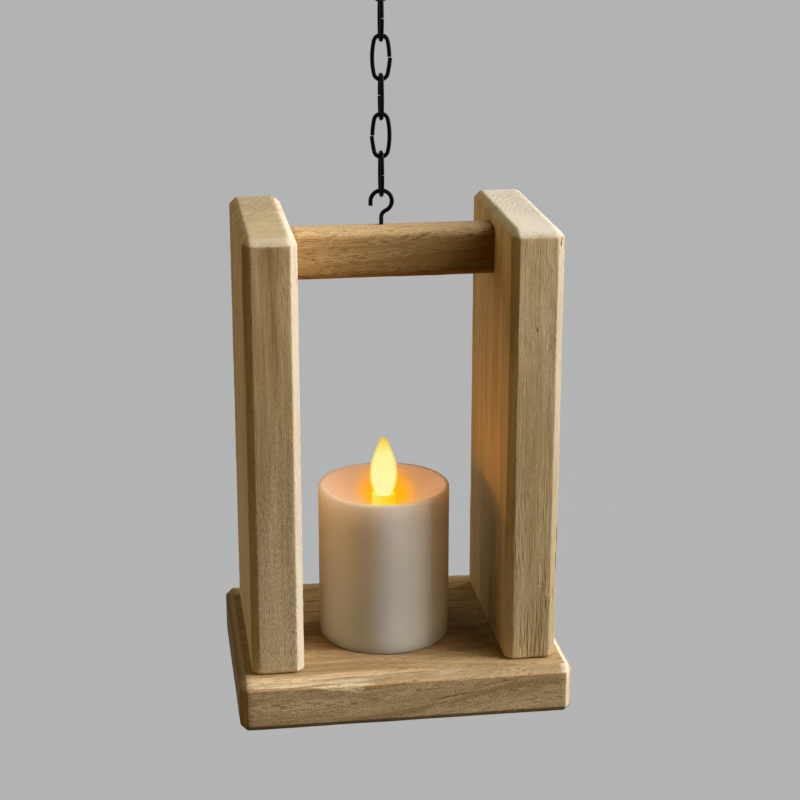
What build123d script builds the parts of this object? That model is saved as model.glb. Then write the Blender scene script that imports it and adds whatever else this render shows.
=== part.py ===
from build123d import *
import os
from math import acos, asin, cos, pi, radians, sin, sqrt, tan

# A hanging lantern of thick wooden boards on a chain, with a battery candle on its board.
# Millimetres. X to the right, Y to the back, Z up.
# The origin is on the hanging line, in the face that the ceiling hook is screwed into.

# Screw hooks, one in the ceiling and one in the crossbar
hook_wire = 2.4
crook_radius = 6.0
hook_bend_radius = 3.8
hook_tail = 2.4
hook_stand = 12.9
hook_plain = 5.0
hook_thread = 12.0
hook_thread_pitch = 1.2
hook_thread_depth = 0.3
hook_point = 2.0
hook_hole_play = 0.05
hook_hole_spare = 1.0
thread_crest_play = 0.05

# Chain
chain_wire = 2.3
link_length = 26.2
link_width = 11.8
link_end_radius = 3.9
link_gap = 0.5
link_step = 0.4
link_count = 7
link_play = 0.2

# Boards, whose middle lies a little off the hanging line
frame_middle_x = 4.6
frame_middle_y = -5.0
base_length = 190.0
base_depth = 144.0
base_thickness = 30.0
upright_thickness = 30.0
upright_depth = 120.0
upright_height = 250.0
upright_gap = 114.0
board_chamfer = 4.2
crossbar_depth = 22.0
crossbar_height = 28.0
crossbar_round = 5.0
crossbar_drop = 8.0

# Dowels and screws of the frame
dowel_diameter = 8.0
dowel_length = 30.0
dowel_spacing = 13.0
dowel_chamfer = 0.8
dowel_play = 0.05
dowel_hole_spare = 1.0
base_screw_diameter = 4.0
base_screw_head = 8.0
base_screw_length = 50.0
base_screw_spacing = 70.0
base_screw_sink = 0.6
base_screw_pitch = 1.8
base_screw_thread_depth = 0.5
base_screw_plain = 22.0
base_screw_point = 3.0
base_screw_slot = 1.0
base_screw_slot_length = 5.0
base_screw_slot_depth = 1.4
base_screw_play = 0.1
base_hole_spare = 1.0

# Candle body and flame, heights from the candle's foot
candle_diameter = 76.0
candle_height = 91.0
candle_offset_x = -5.0
candle_offset_y = -5.0
candle_play = 0.1
shell_wall = 5.0
shell_foot_chamfer = 0.8
shell_lip = 1.6
dish_depth = 14.0
dish_floor_thickness = 3.0
socket_diameter = 13.4
socket_wall = 1.5
socket_height = 8.0
socket_flange_width = 2.5
socket_flange_thickness = 1.5
socket_play = 0.1
flame_height = 34.0
flame_diameter = 15.8
flame_belly_height = 11.9
flame_tip_radius = 2.5
flame_taper = 20.5
flame_neck_length = 6.0
flame_wall = 1.2
flame_play = 0.1

# Candle works
plate_recess = 1.5
plate_thickness = 3.0
plate_play = 0.1
plate_ledge = 1.0
door_diameter = 50.4
door_thickness = 2.0
door_play = 0.2
door_lug_reach = 1.8
door_lug_thickness = 0.8
door_lug_width = 9.0
door_lug_turn = 90.0
door_lug_count = 2
door_twist = 30.0
door_slot_length = 18.0
door_slot_width = 2.0
door_slot_depth = 1.0
cell_diameter = 10.5
cell_length = 44.5
cell_nub_diameter = 3.8
cell_nub_length = 0.8
cell_spacing = 11.1
cell_play = 0.3
tray_wall = 1.5
tray_flange_radius = 32.0
tray_flange_thickness = 1.6
contact_thickness = 0.5
contact_bump_height = 1.1
contact_bump_radius = 3.0
contact_bump_tip_radius = 1.5
contact_width = 8.6
contact_height = 8.0
contact_tab_width = 3.0
contact_tab_stub = 1.0
slot_play = 0.2
board_length = 51.0
board_width = 25.0
board_thickness = 1.6
chip_length = 5.0
chip_width = 4.0
chip_height = 1.5
chip_place_x = -16.0
post_diameter = 7.0
post_bore = 4.8
post_flange_diameter = 16.0
post_flange_thickness = 2.0
post_top_above_socket_foot = 4.0
led_diameter = 5.0
led_rim_diameter = 5.8
led_rim_height = 1.0
led_height = 8.6
lead_diameter = 0.6
lead_spacing = 2.54
switch_radius = 30.1
switch_length = 9.0
switch_width = 4.0
switch_height = 4.0
switch_travel = 4.0
knob_size = 2.0
knob_proud = 0.8
knob_depth = 1.5
knob_play = 0.2
switch_wire_diameter = 1.2
switch_wire_spacing = 3.0
switch_wire_clear = 1.0
switch_wire_bend = 3.0
switch_wire_landing_x = 20.0
tray_screw_diameter = 2.0
tray_screw_length = 4.0
tray_screw_head = 3.6
tray_screw_head_height = 1.2
tray_screw_circle = 29.6
tray_screw_count = 3
tray_screw_turn = 60.0
tray_screw_play = 0.05

# Chain worked out from the hook and link sizes
link_pitch = link_length - 2 * chain_wire - link_play
hook_to_link = (hook_wire + chain_wire) / 2 + link_play
first_link_z = -hook_stand - crook_radius + hook_to_link - (link_length - chain_wire) / 2
last_link_foot_z = first_link_z - (link_count - 1) * link_pitch - (link_length - chain_wire) / 2
lantern_crook_z = last_link_foot_z + hook_to_link - crook_radius

# Heights of the boards
crossbar_top_z = lantern_crook_z - hook_stand
upright_top_z = crossbar_top_z + crossbar_drop
base_top_z = upright_top_z - upright_height
base_foot_z = base_top_z - base_thickness
crossbar_middle_z = crossbar_top_z - crossbar_height / 2
upright_middle_x = (upright_gap + upright_thickness) / 2
hook_buried = hook_plain + hook_thread + hook_point

# Levels inside the candle, from its foot
plate_top = plate_recess + plate_thickness
door_top = plate_recess + door_thickness
ledge_top = door_top - door_play
cell_middle = plate_top + cell_play + cell_diameter / 2
tray_inside_top = plate_top + 2 * cell_play + cell_diameter
tray_top = tray_inside_top + tray_wall
board_top = tray_top + board_thickness
dish_floor = candle_height - dish_depth
socket_foot = dish_floor - dish_floor_thickness
socket_top = dish_floor + socket_height
post_top = socket_foot + post_top_above_socket_foot
candle_radius = candle_diameter / 2
shell_inside = candle_radius - shell_wall
door_hole_radius = door_diameter / 2 + door_play
lug_reach_radius = door_diameter / 2 + door_lug_reach
contact_room = contact_thickness + contact_bump_height
tray_inside_length = cell_length + 2 * contact_room
tray_inside_width = cell_spacing + cell_diameter + 2 * cell_play
contact_face = tray_inside_length / 2

frame_plan = Plane(origin=(frame_middle_x, frame_middle_y, 0))
frame_end = Plane(origin=frame_plan.origin, x_dir=(0, 1, 0), z_dir=(1, 0, 0))
candle_x = frame_middle_x + candle_offset_x
candle_y = frame_middle_y + candle_offset_y
candle_foot = Plane(origin=(candle_x, candle_y, base_top_z + candle_play))
candle_section = Plane(origin=candle_foot.origin, x_dir=(1, 0, 0), z_dir=(0, -1, 0))
candle_axis = Axis(candle_foot.origin, (0, 0, 1))
candle_end = Plane(origin=candle_foot.origin, x_dir=(0, 1, 0), z_dir=(1, 0, 0))

os.makedirs("parts", exist_ok=True)


def save(piece, name):
    """Label a finished piece and write its file."""
    piece.part.label = name
    export_step(piece.part, f"parts/{name}.step")


def thread_outline(top, length, pitch, crest, depth, point):
    """The half outline of a screw's ridged stem, from its top down to its point."""
    turns = max(1, round(length / pitch))
    step = length / turns
    outline = [(0, top), (crest - depth, top)]
    for turn in range(turns):
        outline.append((crest, top - (turn + 0.5) * step))
        outline.append((crest - depth, top - (turn + 1) * step))
    outline.append((0, top - length - point))
    return outline


def make_hook(face_z, up):
    """A screw hook that leaves a level face at face_z, upwards (up = 1) or downwards (up = -1)."""
    face = Plane(origin=(0, 0, face_z), x_dir=(1, 0, 0), z_dir=(0, -up, 0))
    lean = acos(hook_bend_radius / (crook_radius + hook_bend_radius))
    bend_foot = hook_stand - (crook_radius + hook_bend_radius) * sin(lean)
    bend_end = (crook_radius * cos(lean), hook_stand - crook_radius * sin(lean))
    with BuildPart() as hook:
        with BuildLine(face):
            shank = Line((0, -hook_plain), (0, bend_foot))
            TangentArc(shank @ 1, face.from_local_coords(bend_end), tangent=shank % 1)
            crook_top = (crook_radius * cos(lean), hook_stand + crook_radius * sin(lean))
            ThreePointArc(bend_end, crook_top, (-crook_radius, hook_stand))
            Line((-crook_radius, hook_stand), (-crook_radius, hook_stand - hook_tail))
        with BuildSketch(Plane(origin=shank @ 0, z_dir=shank % 0)):
            Circle(hook_wire / 2)
        sweep()
        with BuildSketch(face):
            with BuildLine():
                Polyline(
                    *thread_outline(
                        -hook_plain,
                        hook_thread,
                        hook_thread_pitch,
                        hook_wire / 2 - thread_crest_play,
                        hook_thread_depth,
                        hook_point,
                    ),
                    close=True,
                )
            make_face()
        revolve(axis=Axis.Z)
    return hook


def make_link(index):
    """One bent oval link, counted from the top, turned a quarter from the one above it."""
    middle = (0, 0, first_link_z - index * link_pitch)
    gap_side = 1 if index % 4 < 2 else -1
    if index % 2 == 0:
        flat = Plane(origin=middle, x_dir=(0, gap_side, 0), z_dir=(gap_side, 0, 0))
    else:
        flat = Plane(origin=middle, x_dir=(-gap_side, 0, 0), z_dir=(0, gap_side, 0))
    half_length = (link_length - chain_wire) / 2
    half_width = (link_width - chain_wire) / 2
    end_middle = half_length - link_end_radius
    bow = (half_width**2 + end_middle**2 - link_end_radius**2) / (2 * (half_width - link_end_radius))
    bow_middle = half_width - bow
    join_angle = asin(end_middle / (bow - link_end_radius))
    join = (bow_middle + bow * cos(join_angle), bow * sin(join_angle))
    gap_angle = asin(link_gap / 2 / bow)
    start_angle = (gap_angle + join_angle) / 2
    start = (bow_middle + bow * cos(gap_angle), link_gap / 2)
    between = (bow_middle + bow * cos(start_angle), bow * sin(start_angle))
    with BuildPart() as link:
        with BuildLine(flat):
            first = ThreePointArc(start, between, join)
            ThreePointArc(join, (0, half_length), (-join[0], join[1]))
            ThreePointArc((-join[0], join[1]), (-half_width, 0), (-join[0], -join[1]))
            foot = ThreePointArc((-join[0], -join[1]), (0, -half_length), (join[0], -join[1]))
            free_end = flat.from_local_coords((half_width + link_step, -link_gap / 2))
            TangentArc(foot @ 1, free_end, tangent=foot % 1)
        with BuildSketch(Plane(origin=first @ 0, z_dir=first % 0)):
            Circle(chain_wire / 2)
        sweep()
    return link


# Ceiling hook and chain
ceiling_hook = make_hook(0, -1)
save(ceiling_hook, "ceiling_hook")
for link_index in range(link_count):
    chain_link = make_link(link_index)
    save(chain_link, f"chain_link_{link_index + 1}")

# Hook in the crossbar
screw_hook = make_hook(crossbar_top_z, 1)
save(screw_hook, "screw_hook")

# Crossbar, with a blind hole for the hook and two dowel holes in each end
with BuildPart() as crossbar:
    with BuildSketch(frame_end.offset(-upright_gap / 2)):
        with Locations((0, crossbar_middle_z)):
            RectangleRounded(crossbar_depth, crossbar_height, crossbar_round)
    extrude(amount=upright_gap)
    with BuildSketch(Plane.XY.offset(crossbar_top_z)):
        Circle(hook_wire / 2 + hook_hole_play)
    extrude(amount=-(hook_buried + hook_hole_spare), mode=Mode.SUBTRACT)
    for side in (-1, 1):
        with BuildSketch(frame_end.offset(side * upright_gap / 2)):
            with Locations((0, crossbar_middle_z)):
                with GridLocations(0, dowel_spacing, 1, 2):
                    Circle(dowel_diameter / 2 + dowel_play)
        extrude(amount=-side * (dowel_length / 2 + dowel_hole_spare), mode=Mode.SUBTRACT)
save(crossbar, "crossbar")

# Dowels that join the crossbar to the uprights
with BuildPart() as crossbar_dowels:
    for side in (-1, 1):
        with BuildSketch(frame_end.offset(side * upright_gap / 2 - dowel_length / 2)):
            with Locations((0, crossbar_middle_z)):
                with GridLocations(0, dowel_spacing, 1, 2):
                    Circle(dowel_diameter / 2)
        extrude(amount=dowel_length)
    chamfer(crossbar_dowels.edges().filter_by(GeomType.CIRCLE), dowel_chamfer)
save(crossbar_dowels, "crossbar_dowels")

# Base board, with countersunk holes from beneath
with BuildPart() as base_board:
    with BuildSketch(frame_plan.offset(base_foot_z)):
        Rectangle(base_length, base_depth)
    extrude(amount=base_thickness)
    chamfer(base_board.edges(), board_chamfer)
    screw_seat = frame_plan.offset(base_foot_z + base_screw_sink).origin
    with Locations(Plane(origin=screw_seat, z_dir=(0, 0, -1))):
        with GridLocations(2 * upright_middle_x, base_screw_spacing, 2, 2):
            CounterSinkHole(
                base_screw_diameter / 2 + base_screw_play,
                base_screw_head / 2 + base_screw_play,
                counter_sink_angle=90,
            )
save(base_board, "base_board")


def make_upright(side):
    """An upright board on the left (side = -1) or on the right (side = 1)."""
    with BuildPart() as upright:
        with BuildSketch(frame_plan.offset(base_top_z)):
            with Locations((side * upright_middle_x, 0)):
                Rectangle(upright_thickness, upright_depth)
        extrude(amount=upright_height)
        standing = upright.edges().filter_by(Axis.Z)
        top = upright.faces().sort_by(Axis.Z)[-1].edges()
        chamfer(standing + top, board_chamfer)
        with BuildSketch(frame_end.offset(side * upright_gap / 2)):
            with Locations((0, crossbar_middle_z)):
                with GridLocations(0, dowel_spacing, 1, 2):
                    Circle(dowel_diameter / 2 + dowel_play)
        extrude(amount=side * (dowel_length / 2 + dowel_hole_spare), mode=Mode.SUBTRACT)
        with BuildSketch(frame_plan.offset(base_top_z)):
            with Locations((side * upright_middle_x, 0)):
                with GridLocations(0, base_screw_spacing, 1, 2):
                    Circle(base_screw_diameter / 2 + base_screw_play)
        screw_reach = base_screw_length + base_screw_sink - base_thickness
        extrude(amount=screw_reach + base_hole_spare, mode=Mode.SUBTRACT)
    return upright


left_upright = make_upright(-1)
save(left_upright, "left_upright")
right_upright = make_upright(1)
save(right_upright, "right_upright")

# Countersunk screws through the base board into the uprights
base_screw_foot_z = base_foot_z + base_screw_sink
base_screw_radius = base_screw_diameter / 2
head_height = base_screw_head / 2 - base_screw_radius
base_screw_places = [
    (frame_middle_x + x, frame_middle_y + y)
    for x in (-upright_middle_x, upright_middle_x)
    for y in (-base_screw_spacing / 2, base_screw_spacing / 2)
]
with BuildPart() as base_screws:
    for x, y in base_screw_places:
        screw_section = Plane(
            origin=(x, y, base_screw_foot_z),
            x_dir=(1, 0, 0),
            z_dir=(0, 1, 0),
        )
        with BuildSketch(screw_section):
            with BuildLine():
                Polyline(
                    (0, 0),
                    (base_screw_head / 2, 0),
                    (base_screw_radius, -head_height),
                    (base_screw_radius, -base_screw_plain),
                    *thread_outline(
                        -base_screw_plain,
                        base_screw_length - base_screw_plain - base_screw_point,
                        base_screw_pitch,
                        base_screw_radius,
                        base_screw_thread_depth,
                        base_screw_point,
                    )[1:],
                    close=True,
                )
            make_face()
        revolve(axis=Axis((x, y, 0), (0, 0, 1)))
    with BuildSketch(Plane.XY.offset(base_screw_foot_z)):
        with Locations(*base_screw_places):
            Rectangle(base_screw_slot_length, base_screw_slot)
            Rectangle(base_screw_slot, base_screw_slot_length)
    extrude(amount=base_screw_slot_depth, mode=Mode.SUBTRACT)
save(base_screws, "base_screws")

# Candle shell: a foot that takes the plate, a ledge above it, a dished top and a hole in the dish
dish_edge = candle_radius - 2 * shell_lip
bowl_depth = dish_depth - shell_lip
bowl_radius = (dish_edge**2 + bowl_depth**2) / (2 * bowl_depth)
socket_hole = socket_diameter / 2 + socket_play
dish_halfway = (dish_edge + socket_hole) / 2
plate_seat = shell_inside + plate_ledge


def dish_height(radius):
    """Height of the dished top at a distance from the candle's axis."""
    return dish_floor + bowl_radius - sqrt(bowl_radius**2 - radius**2)


with BuildPart() as candle_shell:
    with BuildSketch(candle_section):
        with BuildLine():
            Polyline(
                (socket_hole, dish_height(socket_hole)),
                (socket_hole, socket_foot),
                (shell_inside, socket_foot),
                (shell_inside, plate_top),
                (plate_seat, plate_top),
                (plate_seat, 0),
                (candle_radius - shell_foot_chamfer, 0),
                (candle_radius, shell_foot_chamfer),
                (candle_radius, candle_height - shell_lip),
            )
            ThreePointArc(
                (candle_radius, candle_height - shell_lip),
                (candle_radius - shell_lip, candle_height),
                (dish_edge, candle_height - shell_lip),
            )
            ThreePointArc(
                (dish_edge, candle_height - shell_lip),
                (dish_halfway, dish_height(dish_halfway)),
                (socket_hole, dish_height(socket_hole)),
            )
        make_face()
    revolve(axis=candle_axis)
save(candle_shell, "candle_shell")

# Socket ring, with a flange under the dish
socket_radius = socket_diameter / 2
socket_bore = socket_radius - socket_wall
socket_flange = socket_radius + socket_flange_width
socket_flange_foot = socket_foot - socket_flange_thickness
with BuildPart() as flame_socket:
    with BuildSketch(candle_section):
        with BuildLine():
            Polyline(
                (socket_bore, socket_flange_foot),
                (socket_flange, socket_flange_foot),
                (socket_flange, socket_foot),
                (socket_radius, socket_foot),
                (socket_radius, socket_top),
                (socket_bore, socket_top),
                close=True,
            )
        make_face()
    revolve(axis=candle_axis)
save(flame_socket, "flame_socket")

# Flame bulb, hollow and open beneath, with a neck that stands in the socket.
# Its side is a rounded tip, a straight taper, a long belly arc and a tucked-in foot, all tangent.
neck_radius = socket_bore - flame_play
neck_foot = socket_top - flame_neck_length
flame_tip = socket_top + flame_height
flame_belly = socket_top + flame_belly_height
flame_radius = flame_diameter / 2
taper = radians(flame_taper)
tip_middle = flame_tip - flame_tip_radius
taper_apex = tip_middle + flame_tip_radius / sin(taper)
belly_arc = ((taper_apex - flame_belly) * tan(taper) - flame_radius) / (1 / cos(taper) - 1)
foot_tuck = flame_radius - neck_radius
foot_arc = (foot_tuck**2 + flame_belly_height**2) / (2 * foot_tuck)
foot_turn = asin(flame_belly_height / foot_arc) / 2


def draw_flame_side(inset):
    """Draw one side of the bulb's wall, from the top of the axis down to the neck's foot."""
    tip = flame_tip_radius - inset
    belly = belly_arc - inset
    widest = flame_radius - inset
    belly_middle = widest - belly
    tip_turn = (pi / 2 + taper) / 2
    tip_end = (tip * cos(taper), tip_middle + tip * sin(taper))
    taper_end = (belly_middle + belly * cos(taper), flame_belly + belly * sin(taper))
    half_belly = (
        belly_middle + belly * cos(taper / 2),
        flame_belly + belly * sin(taper / 2),
    )
    half_foot = (
        widest - foot_arc + foot_arc * cos(foot_turn),
        flame_belly - foot_arc * sin(foot_turn),
    )
    half_tip = (tip * cos(tip_turn), tip_middle + tip * sin(tip_turn))
    ThreePointArc((0, tip_middle + tip), half_tip, tip_end)
    Line(tip_end, taper_end)
    ThreePointArc(taper_end, half_belly, (widest, flame_belly))
    ThreePointArc((widest, flame_belly), half_foot, (neck_radius - inset, socket_top))
    Line((neck_radius - inset, socket_top), (neck_radius - inset, neck_foot))


with BuildPart() as flame_lens:
    with BuildSketch(candle_section):
        with BuildLine():
            draw_flame_side(0)
            draw_flame_side(flame_wall)
            Line((neck_radius - flame_wall, neck_foot), (neck_radius, neck_foot))
            Line((0, flame_tip - flame_wall), (0, flame_tip))
        make_face()
    revolve(axis=candle_axis)
save(flame_lens, "flame_lens")

# Lamp on its post, with two legs down to the circuit board
led_radius = led_diameter / 2
with BuildPart() as led:
    with BuildSketch(candle_section):
        with BuildLine():
            Polyline(
                (0, post_top + led_height),
                (0, post_top),
                (led_rim_diameter / 2, post_top),
                (led_rim_diameter / 2, post_top + led_rim_height),
                (led_radius, post_top + led_rim_height),
                (led_radius, post_top + led_height - led_radius),
            )
            RadiusArc(
                (led_radius, post_top + led_height - led_radius),
                (0, post_top + led_height),
                -led_radius,
            )
        make_face()
    revolve(axis=candle_axis)
save(led, "led")

with BuildPart() as led_post:
    with BuildSketch(candle_foot.offset(board_top)):
        Circle(post_flange_diameter / 2)
    extrude(amount=post_flange_thickness)
    with BuildSketch(candle_foot.offset(board_top)):
        Circle(post_diameter / 2)
    extrude(amount=post_top - board_top)
    with BuildSketch(candle_foot.offset(board_top)):
        Circle(post_bore / 2)
    extrude(amount=post_top - board_top, mode=Mode.SUBTRACT)
save(led_post, "led_post")

with BuildPart() as led_leads:
    with BuildSketch(candle_foot.offset(board_top)):
        with GridLocations(lead_spacing, 0, 2, 1):
            Circle(lead_diameter / 2)
    extrude(amount=post_top - board_top)
save(led_leads, "led_leads")

# Circuit board on the tray, slotted for the contact tabs, with its chip
tab_place_x = contact_face - contact_thickness / 2
tab_slot_length = contact_tab_width + 2 * slot_play
tab_slot_width = contact_thickness + 2 * slot_play
with BuildPart() as circuit_board:
    with BuildSketch(candle_foot.offset(tray_top)):
        Rectangle(board_length, board_width)
        with Locations((tab_place_x, -cell_spacing / 2), (tab_place_x, cell_spacing / 2)):
            Rectangle(tab_slot_width, tab_slot_length, mode=Mode.SUBTRACT)
    extrude(amount=board_thickness)
save(circuit_board, "circuit_board")

with BuildPart() as control_chip:
    with BuildSketch(candle_foot.offset(board_top)):
        with Locations((chip_place_x, 0)):
            Rectangle(chip_length, chip_width)
    extrude(amount=chip_height)
save(control_chip, "control_chip")

# Battery tray: a box over the cells with a round flange, notched for the switch
switch_notch_width = switch_width + 2 * slot_play
switch_notch_length = switch_length + 2 * slot_play
with BuildPart() as battery_tray:
    with BuildSketch(candle_foot.offset(plate_top)):
        Circle(tray_flange_radius)
    extrude(amount=tray_flange_thickness)
    with BuildSketch(candle_foot.offset(plate_top)):
        Rectangle(tray_inside_length + 2 * tray_wall, tray_inside_width + 2 * tray_wall)
    extrude(amount=tray_top - plate_top)
    with BuildSketch(candle_foot.offset(plate_top)):
        Rectangle(tray_inside_length, tray_inside_width)
    extrude(amount=tray_inside_top - plate_top, mode=Mode.SUBTRACT)
    with BuildSketch(candle_foot.offset(tray_inside_top)):
        with Locations((tab_place_x, -cell_spacing / 2), (tab_place_x, cell_spacing / 2)):
            Rectangle(tab_slot_width, tab_slot_length)
    extrude(amount=tray_wall, mode=Mode.SUBTRACT)
    with BuildSketch(candle_foot.offset(plate_top)):
        with Locations((switch_radius - switch_notch_width / 2, 0)):
            Rectangle(tray_flange_radius, switch_notch_length, align=(Align.MIN, Align.CENTER))
        with PolarLocations(tray_screw_circle, tray_screw_count, start_angle=tray_screw_turn):
            Circle(tray_screw_diameter / 2 + tray_screw_play)
    extrude(amount=tray_flange_thickness, mode=Mode.SUBTRACT)
save(battery_tray, "battery_tray")

# Two cells, side by side and head to tail
with BuildPart() as battery_cells:
    for side in (-1, 1):
        with BuildSketch(candle_end.offset(-side * cell_length / 2)):
            with Locations((side * cell_spacing / 2, cell_middle)):
                Circle(cell_diameter / 2)
        extrude(amount=side * (cell_length - cell_nub_length))
        with BuildSketch(candle_end.offset(side * (cell_length / 2 - cell_nub_length))):
            with Locations((side * cell_spacing / 2, cell_middle)):
                Circle(cell_nub_diameter / 2)
        extrude(amount=side * cell_nub_length)
save(battery_cells, "battery_cells")


def make_contact(end, places, tab_top):
    """A contact strip at one end of the tray, with a raised bump for each cell that it touches."""
    wall_face = candle_end.offset(end * contact_face)
    strip_face = candle_end.offset(end * (contact_face - contact_thickness))
    bump_face = candle_end.offset(end * cell_length / 2)
    strip_width = contact_width + max(places) - min(places)
    strip_middle = (max(places) + min(places)) / 2
    with BuildPart() as contact:
        with BuildSketch(wall_face):
            with Locations((strip_middle, cell_middle)):
                Rectangle(strip_width, contact_height)
            if tab_top:
                with Locations((strip_middle, cell_middle)):
                    Rectangle(
                        contact_tab_width,
                        tab_top - cell_middle,
                        align=(Align.CENTER, Align.MIN),
                    )
        extrude(amount=-end * contact_thickness)
        for place in places:
            with BuildSketch(strip_face):
                with Locations((place, cell_middle)):
                    Circle(contact_bump_radius)
            with BuildSketch(bump_face):
                with Locations((place, cell_middle)):
                    Circle(contact_bump_tip_radius)
            loft()
    return contact


bridge_contact = make_contact(-1, (-cell_spacing / 2, cell_spacing / 2), None)
save(bridge_contact, "bridge_contact")
plus_contact = make_contact(1, (cell_spacing / 2,), board_top + contact_tab_stub)
save(plus_contact, "plus_contact")
minus_contact = make_contact(1, (-cell_spacing / 2,), board_top + contact_tab_stub)
save(minus_contact, "minus_contact")

# Plate that closes the shell, with the door's hole, its ledge and the switch's slot
knob_slot_width = knob_size + 2 * knob_play
knob_slot_length = knob_size + switch_travel + 2 * knob_play
lug_room = lug_reach_radius + door_play
with BuildPart() as candle_base:
    with BuildSketch(candle_foot.offset(plate_recess)):
        Circle(plate_seat - plate_play)
        Circle(door_hole_radius, mode=Mode.SUBTRACT)
        with Locations((switch_radius, 0)):
            Rectangle(knob_slot_width, knob_slot_length, mode=Mode.SUBTRACT)
    extrude(amount=plate_thickness)
    with BuildSketch(candle_foot.offset(ledge_top)):
        Circle(lug_room)
    extrude(amount=plate_top - ledge_top, mode=Mode.SUBTRACT)
    with BuildSketch(candle_foot.offset(plate_recess)):
        with PolarLocations(door_hole_radius, door_lug_count, start_angle=door_lug_turn + door_twist):
            Rectangle(2 * lug_room - 2 * door_hole_radius, door_lug_width + 2 * door_play)
        Circle(lug_room, mode=Mode.INTERSECT)
    extrude(amount=plate_thickness, mode=Mode.SUBTRACT)
    with BuildSketch(candle_foot.offset(plate_top)):
        with PolarLocations(tray_screw_circle, tray_screw_count, start_angle=tray_screw_turn):
            Circle(tray_screw_diameter / 2 + tray_screw_play)
    extrude(amount=-(tray_screw_length - tray_flange_thickness + slot_play), mode=Mode.SUBTRACT)
save(candle_base, "candle_base")

# Round door with lugs that turn over the ledge, and a coin slot
door_radius = door_diameter / 2
with BuildPart() as battery_door:
    with BuildSketch(candle_foot.offset(plate_recess)):
        Circle(door_radius)
    extrude(amount=door_thickness)
    with BuildSketch(candle_foot.offset(door_top)):
        with PolarLocations(door_radius, door_lug_count, start_angle=door_lug_turn):
            Rectangle(2 * door_lug_reach, door_lug_width)
        Circle(lug_reach_radius, mode=Mode.INTERSECT)
    extrude(amount=door_lug_thickness)
    with BuildSketch(candle_foot.offset(plate_recess)):
        Rectangle(door_slot_length, door_slot_width)
    extrude(amount=door_slot_depth, mode=Mode.SUBTRACT)
save(battery_door, "battery_door")

# Screws that hold the tray on the plate
tray_flange_top = plate_top + tray_flange_thickness
with BuildPart() as tray_screws:
    with BuildSketch(candle_foot.offset(tray_flange_top)):
        with PolarLocations(tray_screw_circle, tray_screw_count, start_angle=tray_screw_turn):
            Circle(tray_screw_head / 2)
    extrude(amount=tray_screw_head_height)
    with BuildSketch(candle_foot.offset(tray_flange_top)):
        with PolarLocations(tray_screw_circle, tray_screw_count, start_angle=tray_screw_turn):
            Circle(tray_screw_diameter / 2)
    extrude(amount=-tray_screw_length)
save(tray_screws, "tray_screws")

# Slide switch: its body stands on the plate, its knob runs in the plate's slot
with BuildPart() as switch_body:
    with BuildSketch(candle_foot.offset(plate_top)):
        with Locations((switch_radius, 0)):
            Rectangle(switch_width, switch_length)
    extrude(amount=switch_height)
    with BuildSketch(candle_foot.offset(plate_top)):
        with Locations((switch_radius, 0)):
            Rectangle(knob_slot_width, knob_slot_length)
    extrude(amount=knob_depth + knob_play, mode=Mode.SUBTRACT)
save(switch_body, "switch_body")

with BuildPart() as switch_knob:
    with BuildSketch(candle_foot.offset(plate_recess - knob_proud)):
        with Locations((switch_radius, -switch_travel / 2)):
            Rectangle(knob_size, knob_size)
    extrude(amount=knob_proud + plate_thickness + knob_depth)
save(switch_knob, "switch_knob")

# Wires from the switch up and over to the circuit board
switch_top = plate_top + switch_height
wire_top = board_top + switch_wire_bend + switch_wire_clear
with BuildPart() as switch_wires:
    for side in (-1, 1):
        wire_plane = candle_section.offset(side * switch_wire_spacing / 2)
        with BuildLine(wire_plane) as wire_line:
            FilletPolyline(
                (switch_radius, switch_top),
                (switch_radius, wire_top),
                (switch_wire_landing_x, wire_top),
                (switch_wire_landing_x, board_top),
                radius=switch_wire_bend,
            )
        with BuildSketch(Plane(origin=wire_line.line @ 0, z_dir=(0, 0, 1))):
            Circle(switch_wire_diameter / 2)
        sweep()
save(switch_wires, "switch_wires")
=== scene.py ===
"""A hanging wooden lantern with a battery candle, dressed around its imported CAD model."""
import logging
import math
from collections.abc import Callable, Iterator, Sequence
from contextlib import contextmanager
from dataclasses import dataclass, field
from enum import Enum
from functools import cache

import bpy
from mathutils import Euler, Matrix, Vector


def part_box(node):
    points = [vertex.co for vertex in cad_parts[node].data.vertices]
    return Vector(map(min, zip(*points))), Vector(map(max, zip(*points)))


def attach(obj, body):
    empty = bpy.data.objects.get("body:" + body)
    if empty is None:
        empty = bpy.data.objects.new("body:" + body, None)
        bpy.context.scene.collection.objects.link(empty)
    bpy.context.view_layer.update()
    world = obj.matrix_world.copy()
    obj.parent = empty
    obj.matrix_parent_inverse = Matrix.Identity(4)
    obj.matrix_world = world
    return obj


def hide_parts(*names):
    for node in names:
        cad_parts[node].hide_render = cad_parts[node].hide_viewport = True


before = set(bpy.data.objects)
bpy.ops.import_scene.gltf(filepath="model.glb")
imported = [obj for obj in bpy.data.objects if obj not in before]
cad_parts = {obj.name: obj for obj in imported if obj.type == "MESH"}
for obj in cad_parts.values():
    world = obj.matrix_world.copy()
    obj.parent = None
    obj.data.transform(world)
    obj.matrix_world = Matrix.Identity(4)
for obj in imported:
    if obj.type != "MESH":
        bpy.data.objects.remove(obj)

LOG = logging.getLogger("lantern")
MM = 0.001
Triple = tuple[float, float, float]
Colour = Triple
Ring = tuple[float, float]
Inputs = dict[int | str, object]
Material = bpy.types.Material
NodeTree = bpy.types.NodeTree
Piece = bpy.types.Object
Socket = bpy.types.NodeSocket
ORIGIN = (0.0, 0.0, 0.0)
HALVES = (0.5, 0.5, 0.5)
UP = Vector((0, 0, 1))
SMOOTH_ANGLE = math.radians(35.0)
CUTTER_SIDES = 40
SOFT_STRIPS = 4
SWELL_LAYERS = 2
POINT = 0.001 * MM
MERGE = 0.002 * MM
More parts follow.
